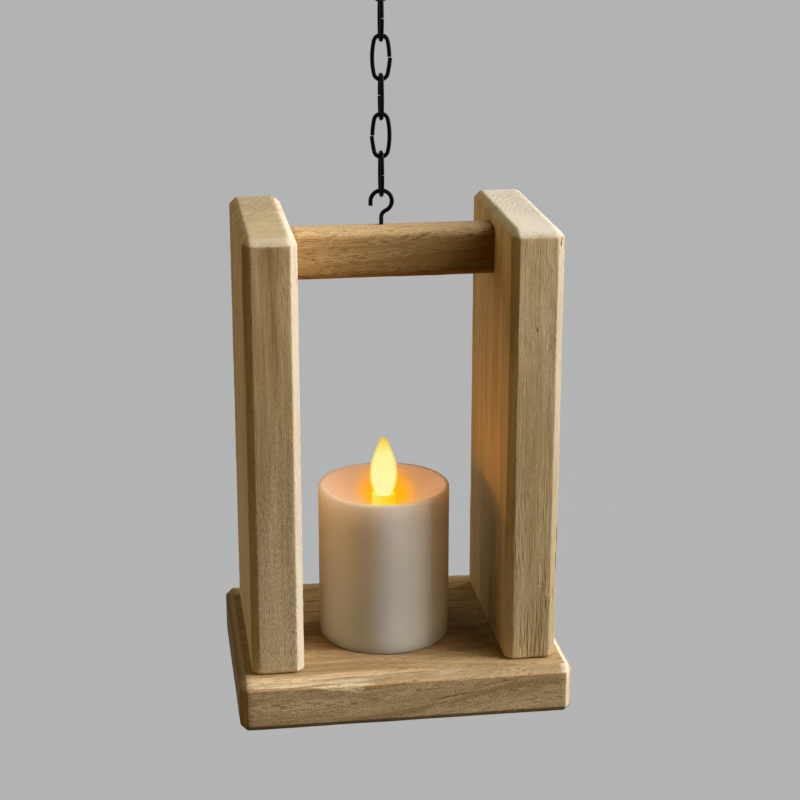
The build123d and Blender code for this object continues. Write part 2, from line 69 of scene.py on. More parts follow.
KNOT_REACH = (5.5 * MM, 30 * MM, 11 * MM)
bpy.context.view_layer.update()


class Grain(Enum):
    """The way a board's fibres run, as the turn that lays them along X."""

    ALONG_X = (0.0, 0.0, 0.0)
    ALONG_Z = (0.0, math.pi / 2, 0.0)


class Side(Enum):
    """The two uprights, by the side of the lantern that they stand on."""

    LEFT = -1
    RIGHT = 1


@dataclass(frozen=True)
class Box:
    """The box of a CAD node."""

    low: Vector
    high: Vector

    @property
    def middle(self) -> Vector:
        """The box's middle."""
        return (self.low + self.high) / 2

    @property
    def size(self) -> Vector:
        """The box's size on each axis."""
        return self.high - self.low


# Node trees


class Wire:
    """A socket that is reckoned with like a number, a place or a colour. Each step adds a node."""

    def __init__(self, sketch: "Sketch", socket: Socket) -> None:
        """Keep the socket and the sketch that it is in."""
        self.sketch, self.socket = sketch, socket

    def math(self, operation: str, *values: object, clamp: bool = False) -> "Wire":
        """Reckon with numbers in a Math node, kept between 0 and 1 if clamp is set."""
        inputs = dict(enumerate((self, *values)))
        return self.sketch.wire("Math", inputs, operation=operation, use_clamp=clamp)

    def vector(self, operation: str, *values: object, output: str = "Vector") -> "Wire":
        """Reckon with places in a Vector Math node."""
        inputs = dict(enumerate((self, *values)))
        return self.sketch.wire("VectorMath", inputs, output, operation=operation)

    def reckon(self, operation: str, other: object) -> "Wire":
        """Reckon with another value of this wire's kind."""
        step = self.math if self.socket.type == "VALUE" else self.vector
        return step(operation, other)

    def __add__(self, other: object) -> "Wire":
        """Add a value."""
        return self.reckon("ADD", other)

    def __sub__(self, other: object) -> "Wire":
        """Take a value away."""
        return self.reckon("SUBTRACT", other)

    def __mul__(self, other: object) -> "Wire":
        """Multiply by a value, axis by axis for a place."""
        return self.reckon("MULTIPLY", other)

    def __truediv__(self, other: object) -> "Wire":
        """Divide by a value, axis by axis for a place."""
        return self.reckon("DIVIDE", other)

    def least(self, other: "Wire") -> "Wire":
        """Take the smaller of two numbers."""
        return self.math("MINIMUM", other)

    def most(self, other: "Wire") -> "Wire":
        """Take the larger of two numbers."""
        return self.math("MAXIMUM", other)

    def reach(self, other: "Wire") -> "Wire":
        """Take two numbers as the sides of a right angle and give the third side."""
        return (self * self + other * other).math("POWER", 0.5)

    def length(self) -> "Wire":
        """Measure a place's distance from the origin."""
        return self.vector("LENGTH", output="Value")

    def scale(self, share: object) -> "Wire":
        """Multiply a place or a colour by one number."""
        return self.sketch.wire("VectorMath", {0: self, "Scale": share}, operation="SCALE")

    def axes(self) -> tuple["Wire", ...]:
        """Split a place into its X, Y and Z."""
        made = self.sketch.node("SeparateXYZ", {0: self})
        return tuple(Wire(self.sketch, socket) for socket in made.outputs)

    def mix(self, first: object, second: object, blend: str = "MIX") -> "Wire":
        """Mix two colours, with this number as the second one's share."""
        inputs = {0: self, 6: first, 7: second}
        return self.sketch.wire("Mix", inputs, 2, data_type="RGBA", blend_type=blend)

    def remap(self, low: float, high: float, start: float = 0.0, end: float = 1.0) -> "Wire":
        """Spread a number smoothly: low becomes start, and high becomes end."""
        inputs = dict(enumerate((self, low, high, start, end)))
        return self.sketch.wire("MapRange", inputs, interpolation_type="SMOOTHSTEP")

    def noise(
        self, scale: object, detail: float = 2.0, rough: float = 0.5, output: int | str = 0
    ) -> "Wire":
        """Read a noise at this place, about 0.5, with its scale in bumps to the metre."""
        inputs = {"Vector": self, "Scale": scale, "Detail": detail, "Roughness": rough}
        return self.sketch.wire("TexNoise", inputs, output)

    def stretch(
        self, scale: Triple = (1, 1, 1), shift: Triple = ORIGIN, turn: Triple = ORIGIN
    ) -> "Wire":
        """Scale, turn and then shift this place with a Mapping node."""
        inputs = {"Vector": self, "Location": shift, "Rotation": turn, "Scale": scale}
        return self.sketch.wire("Mapping", inputs)


class Sketch:
    """A shader node tree that is drawn node by node."""

    def __init__(self, tree: NodeTree) -> None:
        """Keep the tree that is drawn in."""
        self.tree = tree

    def feed(self, target: Socket, value: object) -> None:
        """Join a wire to an input, or set the input to a constant.

        Args:
            target: The input.
            value: A wire, a number, a vector or a colour.
        """
        if isinstance(value, Wire):
            self.tree.links.new(value.socket, target)
        elif target.type == "RGBA" and len(value) == 3:
            target.default_value = (*value, 1.0)
        else:
            target.default_value = value

    def node(
        self, kind: str, inputs: Inputs | None = None, **settings: object
    ) -> bpy.types.Node:
        """Add one node.

        Args:
            kind: The node's type name, without its ShaderNode prefix.
            inputs: Values for its inputs, by name or number.
            **settings: Properties of the node.

        Returns:
            The new node.
        """
        made = self.tree.nodes.new("ShaderNode" + kind)
        for name, value in settings.items():
            setattr(made, name, value)
        for key, value in (inputs or {}).items():
            self.feed(made.inputs[key], value)
        return made

    def wire(
        self, kind: str, inputs: Inputs | None = None, output: int | str = 0, **settings: object
    ) -> Wire:
        """Add one node and give a wire from one of its outputs."""
        return Wire(self, self.node(kind, inputs, **settings).outputs[output])

    def group(self, tree: NodeTree, **values: object) -> dict[str, Wire]:
        """Place a node group.

        Args:
            tree: The group's tree.
            **values: Its inputs, with underscores in place of the spaces in their names.

        Returns:
            Its outputs by name.
        """
        made = self.node("Group", node_tree=tree)
        for name, value in values.items():
            self.feed(made.inputs[name.replace("_", " ")], value)
        return {socket.name: Wire(self, socket) for socket in made.outputs}


class GroupSketch(Sketch):
    """A shader node group with named inputs and outputs."""

    def __init__(self, name: str, **inputs: object) -> None:
        """Make the group and its inputs.

        Args:
            name: The group's name.
            **inputs: The inputs' usual values, with underscores in place of spaces.
        """
        super().__init__(bpy.data.node_groups.new(name, "ShaderNodeTree"))
        for key, value in inputs.items():
            kind = "NodeSocketFloat" if isinstance(value, float) else "NodeSocketVector"
            socket = self.tree.interface.new_socket(
                key.replace("_", " "), in_out="INPUT", socket_type=kind
            )
            socket.default_value = value
        sockets = self.tree.nodes.new("NodeGroupInput").outputs
        self.given = {socket.name: Wire(self, socket) for socket in sockets if socket.name}

    def give(self, **outputs: Wire) -> NodeTree:
        """Make the group's outputs and join them.

        Args:
            **outputs: The outputs by name.

        Returns:
            The finished group.
        """
        for name, wire in outputs.items():
            kind = "NodeSocketFloat" if wire.socket.type == "VALUE" else "NodeSocketVector"
            self.tree.interface.new_socket(name, in_out="OUTPUT", socket_type=kind)
        sockets = self.tree.nodes.new("NodeGroupOutput").inputs
        for name, wire in outputs.items():
            self.feed(sockets[name], wire)
        return self.tree


class MaterialSketch(Sketch):
    """A material with one Principled shader."""

    def __init__(self, name: str) -> None:
        """Make the material with only a shader, its output and its Object coordinates.

        Args:
            name: The material's name.
        """
        self.material = bpy.data.materials.new(name)
        self.material.use_nodes = True
        super().__init__(self.material.node_tree)
        self.tree.nodes.clear()
        self.shader = self.node("BsdfPrincipled")
        self.skin = Wire(self, self.shader.outputs[0])
        self.output = self.node("OutputMaterial", {"Surface": self.skin})
        self.place = self.wire("TexCoord", output="Object")

    def set(self, **values: object) -> None:
        """Set or join the shader's inputs, named with underscores in place of spaces."""
        for name, value in values.items():
            self.feed(self.shader.inputs[name.replace("_", " ")], value)

    def bump(self, height: Wire, depth: float, strength: float = 1.0) -> None:
        """Raise the surface by a height map.

        Args:
            height: The height, about 0 to 1.
            depth: What a height of 1 stands for, in metres.
            strength: How strongly it shows.
        """
        inputs = {"Strength": strength, "Distance": depth, "Height": height}
        self.set(Normal=self.wire("Bump", inputs))


# Effects that several finishes share, each drawn once


@cache
def wood_figure() -> NodeTree:
    """Draw the figure of wood whose fibres run along X and whose pith is on the X axis.

    Returns:
        The group, with masks for rings, pores, fibre, bands and ridges.
    """
    sketch = GroupSketch(
        "wood_figure", Vector=ORIGIN, Ring_Spacing=0.004, Wander=0.005, Pore_Size=2100.0,
        Ridge_Size=400.0,
    )
    given = sketch.given
    place = given["Vector"]
    sway = (place * (0.2, 1.0, 1.0)).noise(42.0, 4.0, output="Color") - HALVES
    place = place + sway.scale(given["Wander"])

    def streaks(length: float, scale: object, detail: float, rough: float = 0.5) -> Wire:
        """Draw noise that is drawn out along the fibres."""
        return (place * (length, 1.0, 1.0)).noise(scale, detail, rough)

    across = (place * (0.0, 1.0, 1.0)).length()
    year = (across / given["Ring Spacing"]).math("FRACT")
    crowd = streaks(0.12, 150.0, 2.0).remap(0.28, 0.52)
    pore = streaks(0.09, given["Pore Size"], 1.0).remap(0.53, 0.64)
    broken = streaks(0.35, 90.0, 2.0).remap(0.35, 0.65, 0.25, 1.0)
    return sketch.give(
        Ring=year.remap(0.25, 0.92) * year.remap(1.0, 0.93),
        Pore=pore * crowd * year.remap(0.8, 0.1, 0.45, 1.0),
        Fibre=streaks(0.03, 800.0, 3.0, 0.6),
        Band=streaks(0.06, 120.0, 3.0, 0.55),
        Ridge=(streaks(0.085, given["Ridge Size"], 3.0, 0.55) - 0.5) * broken,
        Place=place,
    )


@cache
def box_edges() -> NodeTree:
    """Draw masks of a board's eased edges, of its front and back, and of its ends.

    Returns:
        The group: Edge is 1 on the eased edges above the foot, Crease along the front's own
        borders, Front on the faces across Y, End on those across X, Right at the higher X, and
        Top on the top as far as its left edge.
    """
    sketch = GroupSketch(
        "box_edges", Vector=ORIGIN, Middle=ORIGIN, Half=(1.0, 1.0, 1.0), Ease=0.0042
    )
    given = sketch.given
    offset = given["Vector"] - given["Middle"]
    side_x, _, side_z = offset.axes()
    x, y, z = (offset.vector("ABSOLUTE") - given["Half"]).axes()
    half_x = given["Half"].axes()[0]
    is_up = side_z.remap(0.0, 1 * MM)
    rim = z + (is_up - 1.0)
    second = x.least(y).most(y.least(rim)).most(x.least(rim)) + given["Ease"]
    past_left = side_x * -1.0 - half_x
    border = second.math("ABSOLUTE").remap(1.1 * MM, 0.2 * MM)
    top = z.remap(-4.6 * MM, -1.8 * MM) * past_left.remap(-1.8 * MM, -4.6 * MM)
    return sketch.give(
        Edge=second.remap(-1.4 * MM, 0.6 * MM),
        Crease=border * y.remap(-1.8 * MM, -0.7 * MM),
        Front=y.remap(-2.4 * MM, -0.6 * MM),
        End=x.remap(-3.2 * MM, -0.8 * MM),
        Right=(side_x - half_x).remap(-8.5 * MM, -5.5 * MM),
        Top=top * is_up,
    )


@cache
def sawn_face() -> NodeTree:
    """Draw the woolly, sandy relief of a sawn face whose fibres run along X.

    Returns:
        The group: Wool is the torn fibre, Sand the finer specks.
    """
    sketch = GroupSketch("sawn_face", Vector=ORIGIN, Wool_Size=1400.0, Sand_Size=1700.0)
    place = sketch.given["Vector"]
    return sketch.give(
        Wool=(place * (0.36, 1.0, 1.0)).noise(sketch.given["Wool Size"], 2.0, 0.55),
        Sand=(place * (0.6, 1.0, 1.0)).noise(sketch.given["Sand Size"], 1.5, 0.6),
    )


@cache
def fine_speckle() -> NodeTree:
    """Draw the fine unevenness of moulded, cast or coated surfaces.

    Returns:
        The group, with a soft mottle and a fine grain.
    """
    sketch = GroupSketch("fine_speckle", Vector=ORIGIN, Size=1500.0)
    place, size = sketch.given["Vector"], sketch.given["Size"]
    return sketch.give(Mottle=place.noise(size * 0.08, 3.0), Grain=place.noise(size))


# Finishes


@dataclass(frozen=True)
class Mark:
    """A fleck, pit, knot, tint or painted shadow in a board, in millimetres from its middle."""

    place: Triple
    reach: Triple
    share: float
    colour: Colour = (0.055, 0.028, 0.010)
    rise: float = -0.4
    lean: float = 0.0


@dataclass(frozen=True)
class WoodFinish:
    """Sanded, oiled hardwood of one board."""

    name: str
    grain: Grain
    pith: Triple
    pale: Colour
    brown: Colour
    # edge_colour and edge_share pale the eased edges: a little everywhere as wear, and far more on
    # the right-hand edges as a painted highlight.
    edge_colour: Colour
    edge_share: float
    fibre_share: float
    band_share: float
    ridge_share: float
    ridge_depth: float
    pore_share: float
    sand_share: float
    sand_depth: float
    marks: tuple[Mark, ...]
    pore_colour: Colour = (0.10, 0.048, 0.014)
    ring_spacing: float = 0.0045
    ring_share: float = 0.25
    wander: float = 0.005
    tone: float = 0.45
    pore_size: float = 2100.0
    edge_foot: float = 0.0
    crease_share: float = 0.0
    # Painted light: brightens the faces across Y.
    front_light: Colour = (1.0, 1.0, 1.0)
    end_share: float = 0.0
    # Painted light: the colour that the tops are paled towards.
    lit_top_colour: Colour = (0.74, 0.60, 0.38)
    lit_top_share: float = 0.0
    top_pores: float = 0.0
    top_rings: float = 0.0
    foot_colour: Colour = (0.72, 0.57, 0.36)
    foot_share: float = 0.0
    left_dark: float = 0.0
    # Painted light and shade: colour is scaled from left_light at the lower X to right_shade at the
    # higher X.
    left_light: float = 1.0
    right_shade: float = 1.0
    slant: float = 0.0
    sweep: float = 0.0
    knot: Triple | None = None
    scratch_share: float = 0.0
    gap_share: float = 0.0
    ridge_size: float = 400.0
    ridge_foot: float = 0.0
    wool_share: float = 0.9
    wool_depth: float = 0.5
    foot_height: float = 0.0
    sapwood: bool = False
    gap_colour: Colour = (0.15, 0.085, 0.032)
    left_colour: Colour = (0.17, 0.095, 0.035)

    def make(self, box: Box) -> Material:
        """Draw the material for a board in this box."""
        return WoodSketch(self, box).draw()


class WoodSketch(MaterialSketch):
    """The wood of one board."""

    def __init__(self, finish: WoodFinish, box: Box) -> None:
        """Start the material.

        Args:
            finish: The wood's values.
            box: The board's box.
        """
        super().__init__(finish.name)
        self.finish, self.box, self.middle = finish, box, box.middle
        self.x, self.y, self.z = self.place.axes()

    def draw(self) -> Material:
        """Draw the wood's colour, relief and gloss.

        Returns:
            The material.
        """
        wood, low, middle = self.finish, self.box.low, self.middle
        heart = Vector(wood.pith) + middle
        heart.rotate(Euler(wood.grain.value))
        place = self.flow().stretch(shift=-heart, turn=wood.grain.value)
        figure = self.group(
            wood_figure(), Vector=place.stretch(turn=(0, wood.slant, 0)), Wander=wood.wander,
            Ring_Spacing=wood.ring_spacing, Pore_Size=wood.pore_size, Ridge_Size=wood.ridge_size,
        )
        edges = self.group(box_edges(), Vector=self.place, Middle=middle, Half=self.box.size / 2)
        sawn = self.group(sawn_face(), Vector=figure["Place"])
        front, fibre = edges["Front"], figure["Fibre"]

        foot_top = low.z + wood.foot_height
        foot = self.z.remap(foot_top, low.z)
        ridge = figure["Ridge"] * front
        gaps = ridge.remap(-0.03, -0.11, 0.0, wood.gap_share) * foot
        ridge = ridge * (foot * wood.ridge_foot + 1.0)
        sand = (sawn["Sand"] - 0.5) * front
        wool = (sawn["Wool"] - 0.5) * self.z.remap(foot_top, low.z + 0.3 * wood.foot_height)
        wool = wool * front.most(edges["Edge"] * 0.2)

        depth = figure["Ring"] * wood.ring_share + wood.tone
        depth = (fibre - 0.5) * wood.fibre_share + depth
        depth = (figure["Band"] - 0.5) * wood.band_share + depth
        depth = depth.math("SUBTRACT", ridge * wood.ridge_share, clamp=True)
        colour = depth.mix(wood.pale, wood.brown)
        if wood.sapwood:
            colour = self.sapwood(colour)
        # The band above the foot takes foot_colour: paler torn fibre on the left upright, a little
        # darker on the right upright, and a painted shade along the crossbar's lower edge.
        colour = (foot * wood.foot_share).mix(colour, wood.foot_colour)
        # Painted light: the tops are paled as if lit from above.
        colour = (edges["Top"] * wood.lit_top_share).mix(colour, wood.lit_top_colour)
        colour = gaps.mix(colour, wood.gap_colour)
        # Painted light: the faces across Y are brightened.
        colour = front.mix(colour, wood.front_light, "MULTIPLY")

        # Pale eased edges: wear at a small share everywhere, and a painted highlight on the
        # right-hand edges that face the window.
        worn_and_lit = edges["Edge"] * (edges["Right"] * 0.85 + 0.15) * (foot * -wood.edge_foot + 1.0)
        worn_and_lit = worn_and_lit * wood.edge_share
        if wood.crease_share:
            torn = sawn["Sand"].remap(0.40, 0.56, 0.15, wood.crease_share)
            worn_and_lit = worn_and_lit.most(torn * edges["Crease"])
        colour = worn_and_lit.mix(colour, wood.edge_colour)
        colour = (edges["End"] * wood.end_share).mix(colour, wood.pore_colour)
        left = self.x.remap(low.x + 9 * MM, low.x + 2 * MM, 0.0, wood.left_dark)
        colour = left.mix(colour, wood.left_colour)

        # Painted light and shade along X, such as the crossbar lit at its left and shaded by the
        # right upright at its right.
        tint = self.x.remap(low.x, self.box.high.x, wood.left_light, wood.right_shade)
        tint = wool * wood.wool_share + (sand * wood.sand_share + tint)
        if wood.scratch_share:
            tint = self.scratches() * wood.scratch_share + tint
        colour = colour.scale(tint)
        behind = edges["Top"] * self.y.remap(middle.y - 34 * MM, middle.y + 2 * MM)
        if wood.top_rings:
            colour = (behind * self.rings()).mix(colour, wood.brown)
        pores = figure["Pore"] * (behind * wood.top_pores + wood.pore_share)
        colour = pores.mix(colour, wood.pore_colour)

        height = ridge * wood.ridge_depth
        reliefs = (wool, wood.wool_depth), (sand, wood.sand_depth)
        for relief, rise in (*reliefs, (fibre, 0.06), (pores, -0.12), (gaps, -0.2)):
            height = relief * rise + height
        ragged = self.ragged()
        for mark in wood.marks:
            stain = self.stain(ragged, mark)
            colour = stain.mix(colour, mark.colour)
            if mark.rise:
                height = stain * mark.rise + height
        self.bump(height, 1 * MM)
        self.set(
            Base_Color=colour,
            Roughness=fibre.remap(0.2, 0.8, 0.52, 0.70),
            Specular_IOR_Level=0.035,
        )
        return self.material

    def flow(self) -> Wire:
        """Bend the place that the figure is read at: round a knot, or up to the right.

        Returns:
            The bent place.
        """
        place = self.place
        if self.finish.sweep:
            start, end = self.middle.x - 30 * MM, self.box.high.x
            lift = self.x.remap(start, end, 0.0, -self.finish.sweep)
            place = place + self.wire("CombineXYZ", {"Z": lift})
        if self.finish.knot:
            away = place - (self.middle + Vector(self.finish.knot))
            far = (away / KNOT_REACH).length()
            push = away.scale(far.remap(1.0, 0.1, 0.0, -0.85))
            place = place + push * (1.0, 0.0, 0.0)
        return place

    def rings(self) -> Wire:
        """Draw the year rings on the end of an upright, drawn out along its width.

        Returns:
            A mask of the rings.
        """
        squash = Vector((1.0, 0.3, 0.0))
        away = self.place.stretch(squash, -squash * (self.middle + Vector(self.finish.pith)))
        far = away.length() + self.place.noise(70.0, 3.0) * (5 * MM)
        year = (far / self.finish.ring_spacing).math("FRACT")
        return year.remap(0.45, 0.75) * year.remap(1.0, 0.85) * self.finish.top_rings

    def scratches(self) -> Wire:
        """Draw slanting sanding scratches over the left and the middle of the front.

        Returns:
            Their height, about 0.
        """
        turned = self.place.stretch(turn=(0, math.radians(38), 0))
        lines = turned.stretch((0.07, 1, 1)).noise(1500.0, 1.0)
        patch = self.place.noise(70.0, 1.0).remap(0.38, 0.60)
        patch = patch * self.x.remap(self.middle.x + 25 * MM, self.middle.x - 5 * MM)
        return (lines - 0.5) * patch

    def ragged(self) -> Wire:
        """Shift the place a little here and there, so that blemishes have torn borders."""
        shift = self.place.noise(900.0, output="Color") - HALVES
        return self.place + shift.scale(1.2 * MM)

    def stain(self, ragged: Wire, mark: Mark) -> Wire:
        """Draw the mask of one mark: a blemish, a tint or a painted shadow.

        Args:
            ragged: The place, shifted a little.
            mark: The mark.

        Returns:
            The mask.
        """
        away = ragged.stretch(shift=-self.middle - Vector(mark.place) * MM)
        away = away.stretch(turn=(0, mark.lean, 0)) / (Vector(mark.reach) * MM)
        return away.length().remap(1.1, 0.5, 0.0, mark.share)

    def sapwood(self, colour: Wire) -> Wire:
        """Lay pale sapwood streaks over the left half of the front top edge, over a darker band
        that is partly painted shade.

        Args:
            colour: The wood's colour.

        Returns:
            The streaked colour.
        """
        along = (self.x - self.middle.x) / MM
        over = (self.y + self.z - (self.box.low.y + self.box.high.z)) / -MM
        ripple = self.place.stretch((0.12, 1, 1)).noise(260.0, 4.0, 0.62)
        over = (ripple - 0.5) * 9.0 + over
        lower = along.remap(-62, -36, 2.4, 6.6) + along.remap(-30, -8, 0, -14)
        band = ((lower - over) / 0.9).math("ADD", 0.5, clamp=True)
        brown = along.remap(-62, -44) * over.remap(-4.4, -2.8) * over.remap(3.2, 1.4)
        thread = self.place.stretch((0.05, 1, 1)).noise(900.0)
        band = band * over.remap(-12, -5) * (brown * -0.9 + 1.0)
        band = band * thread.remap(0.3, 0.5, 0.45, 1.0) * along.remap(4, -14)
        line = (over + 6.5).math("ABSOLUTE").remap(1.6, 0.2) * along.remap(44, -10, 0.0, 0.6)
        # A darker band along the front-top bevel: partly the wood's own orange-brown band, partly
        # painted shade where the bevel catches light.
        under = over.remap(-1.5, 0.5) * over.remap(7, 4.5) * 0.6
        colour = under.mix(colour, (0.47, 0.275, 0.10))
        return band.most(line).mix(colour, (0.95, 0.70, 0.40))


LINES = ((-44.6, 40.0), (-42.6, 24.0), (46.4, 47.0), (43.4, 29.0), (41.4, 18.0))
CREAM, BARK = (0.97, 0.77, 0.48), (0.38, 0.21, 0.075)
PITS = (
    (39.8, 0.6), (26.0, 0.6), (17.0, 0.5), (14.6, 0.9), (12.4, 0.7), (10.6, 1.3),
    (8.9, 1.2), (7.2, 2.0), (5.6, 3.0), (2.4, 3.3),
)
RIDGE, SLIT, SHADOW = (0.84, 0.70, 0.47), (0.13, 0.068, 0.024), (0.34, 0.22, 0.085)
WOODS = {
    "base_board": WoodFinish(
        "base_wood", Grain.ALONG_X, (0.0, 0.03, -0.075),
        pale=(0.66, 0.468, 0.253), brown=(0.385, 0.248, 0.116), edge_colour=(0.90, 0.76, 0.58),
        edge_share=0.85, end_share=0.6, left_dark=0.6, ridge_depth=0.25, ridge_share=1.4,
        fibre_share=1.2, band_share=1.9, pore_share=0.55, pore_size=1600.0, sand_share=1.4,
        sand_depth=0.2, front_light=(1.19, 1.22, 1.30), sweep=0.02, sapwood=True,
        marks=(
            *(Mark((x, y, 15), (9, 0.9, 2), 0.6) for x, y in LINES),
            Mark((-93, -70, 0), (3.6, 3.6, 17), 0.5, (0.62, 0.42, 0.19), 0),
            Mark((94.5, -69.5, -1), (4.6, 6, 15), 0.5, (0.60, 0.45, 0.31), 0),
            Mark((-38, -70.4, 13.2), (30, 2.2, 1.3), 0.7, CREAM, 0, 0.02),
            Mark((-30, -71.6, 11.4), (16, 1.2, 0.9), 0.8, CREAM, 0, -0.05),
            Mark((-52, -71.0, 11.8), (22, 1.0, 0.8), 0.6, BARK, 0, 0.04),
        ),
    ),
    "left_upright": WoodFinish(
        "left_wood", Grain.ALONG_Z, (-0.012, 0.085, -0.3),
        pale=(0.69, 0.475, 0.24), brown=(0.41, 0.26, 0.107), edge_colour=(0.90, 0.78, 0.63),
        edge_share=0.62, crease_share=0.5, lit_top_colour=(0.77, 0.63, 0.395), lit_top_share=0.7,
        top_pores=0.6, top_rings=0.2, ring_spacing=0.0028, wander=0.003, fibre_share=1.5,
        band_share=3.0, ridge_share=1.2, ridge_depth=0.2, wool_share=1.1, wool_depth=0.13,
        foot_height=0.21, foot_share=0.6, pore_share=0.3, sand_share=0.7, sand_depth=0.08,
        front_light=(1.03, 1.05, 1.08),
        marks=(
            Mark((0, -57.6, 122.4), (15, 3.6, 3.6), 0.3, (0.97, 0.86, 0.68), 0),
            Mark((-15, -10, -120), (2, 70, 60), 0.3, (0.40, 0.25, 0.10), 0),
        ),
    ),
    "right_upright": WoodFinish(
        "right_wood", Grain.ALONG_Z, (0.004, -0.012, 0.3),
        pale=(0.74, 0.55, 0.295), brown=(0.43, 0.295, 0.13), edge_colour=(0.66, 0.58, 0.48),
        edge_share=0.44, edge_foot=0.7, crease_share=0.45, lit_top_colour=(0.83, 0.755, 0.63),
        lit_top_share=0.85, top_pores=0.5, top_rings=0.2, ring_spacing=0.0024, wander=0.003,
        fibre_share=1.0, band_share=1.7, ridge_share=0.6, ridge_size=900.0, ridge_depth=0.26,
        ridge_foot=2.0, gap_share=0.35, foot_height=0.16, wool_depth=0.0, wool_share=0.0,
        pore_share=0.3, foot_colour=(0.45, 0.305, 0.14), foot_share=0.12, left_light=1.1,
        sand_share=0.5, sand_depth=0.06, front_light=(1.04, 1.06, 1.14),
        knot=(9.0 * MM, -60 * MM, -89 * MM),
        marks=(
            Mark((-12.9, -57.9, 92), (3.6, 3.6, 55), 0.42, SHADOW, 0),
            Mark((-12.9, -57.9, -105), (3.6, 3.6, 70), 0.45, RIDGE, 0),
            Mark((-12.9, 0, 122.9), (3.6, 75, 3.6), 0.4, RIDGE, 0),
            Mark((12.9, -57.9, -70), (3.4, 3.4, 95), 0.45, SHADOW, 0),
            Mark((-0.4, -60, 70), (0.8, 2, 2.0), 0.5),
            Mark((4.2, -60, -73), (0.6, 2, 7.0), 0.5, RIDGE, 0.3, 0.05),
            Mark((4.0, -60, -80.5), (1.5, 2, 0.9), 0.45, RIDGE, 0.2),
            Mark((7.8, -60, -90), (0.5, 2, 4.6), 0.36, SLIT, lean=0.12),
            Mark((10.2, -60, -89), (0.5, 2, 4.4), 0.42, SLIT, lean=-0.12),
            Mark((12.4, -58.4, 118), (0.9, 0.9, 3.4), 0.9, SLIT, lean=-0.1),
            Mark((14.6, -56.0, -51), (0.8, 0.8, 8.0), 0.8, SLIT),
            Mark((14.3, -56.4, -68), (0.7, 0.7, 10.0), 0.75, SLIT, lean=0.02),
            Mark((12.7, -58.1, -86), (0.6, 0.6, 6.0), 0.6, SLIT, lean=0.08),
            *(
                Mark((t - 15, y, 120.8 + t), (0.7, 0.9, 0.7), 0.5, SLIT, -0.1)
                for y, t in PITS
            ),
        ),
    ),
    "crossbar": WoodFinish(
        "rail_wood", Grain.ALONG_X, (0.0, 0.05, -0.03),
        pale=(0.605, 0.415, 0.20), brown=(0.345, 0.195, 0.068),
        pore_colour=(0.09, 0.038, 0.010), edge_colour=(0.80, 0.58, 0.32), edge_share=0.0,
        lit_top_colour=(0.84, 0.61, 0.34), lit_top_share=0.42, left_light=1.4, right_shade=0.76,
        slant=0.05, fibre_share=1.1, band_share=0.9, pore_share=0.72, pore_size=2000.0,
        sand_share=0.9, sand_depth=0.12, ridge_share=1.0, ridge_depth=0.2, scratch_share=1.3,
        # Painted shade: the crossbar's lowest strip is darkened by its foot colour.
        foot_height=0.011, wool_share=0.0, wool_depth=0.0, foot_colour=(0.20, 0.10, 0.020),
        foot_share=0.55,
        # Painted shadow of the right upright over the crossbar's right part.
        marks=(Mark((45, -11, -3), (50, 10, 15), 0.4, (0.31, 0.165, 0.022), 0),),
    ),
}


@dataclass(frozen=True)
class CoatFinish:
    """Matt black coat on bent wire, rubbed where the wires bear on each other."""

    name: str
    rub_reach: float = 2.2 * MM
    dark: Colour = (0.0014, 0.0014, 0.0017)
    light: Colour = (0.0042, 0.0040, 0.0038)
    rubbed: Colour = (0.12, 0.11, 0.10)

    def make(self) -> Material:
        """Draw the material.

        Returns:
            The material.
        """
        sketch = MaterialSketch(self.name)
        speckle = sketch.group(fine_speckle(), Vector=sketch.place, Size=2600.0)
        grain = speckle["Grain"]
        x, y, _ = sketch.place.axes()
        rub = x.reach(y).remap(self.rub_reach, self.rub_reach * 0.3)
        rub = rub * grain.remap(0.44, 0.62) * 0.3
        sketch.set(
            Base_Color=rub.mix(speckle["Mottle"].mix(self.dark, self.light), self.rubbed),
            Metallic=rub,
            Roughness=grain.remap(0.3, 0.7, 0.26, 0.40),
            Specular_IOR_Level=0.045,
        )
        sketch.bump(grain, 0.06 * MM)
        return sketch.material


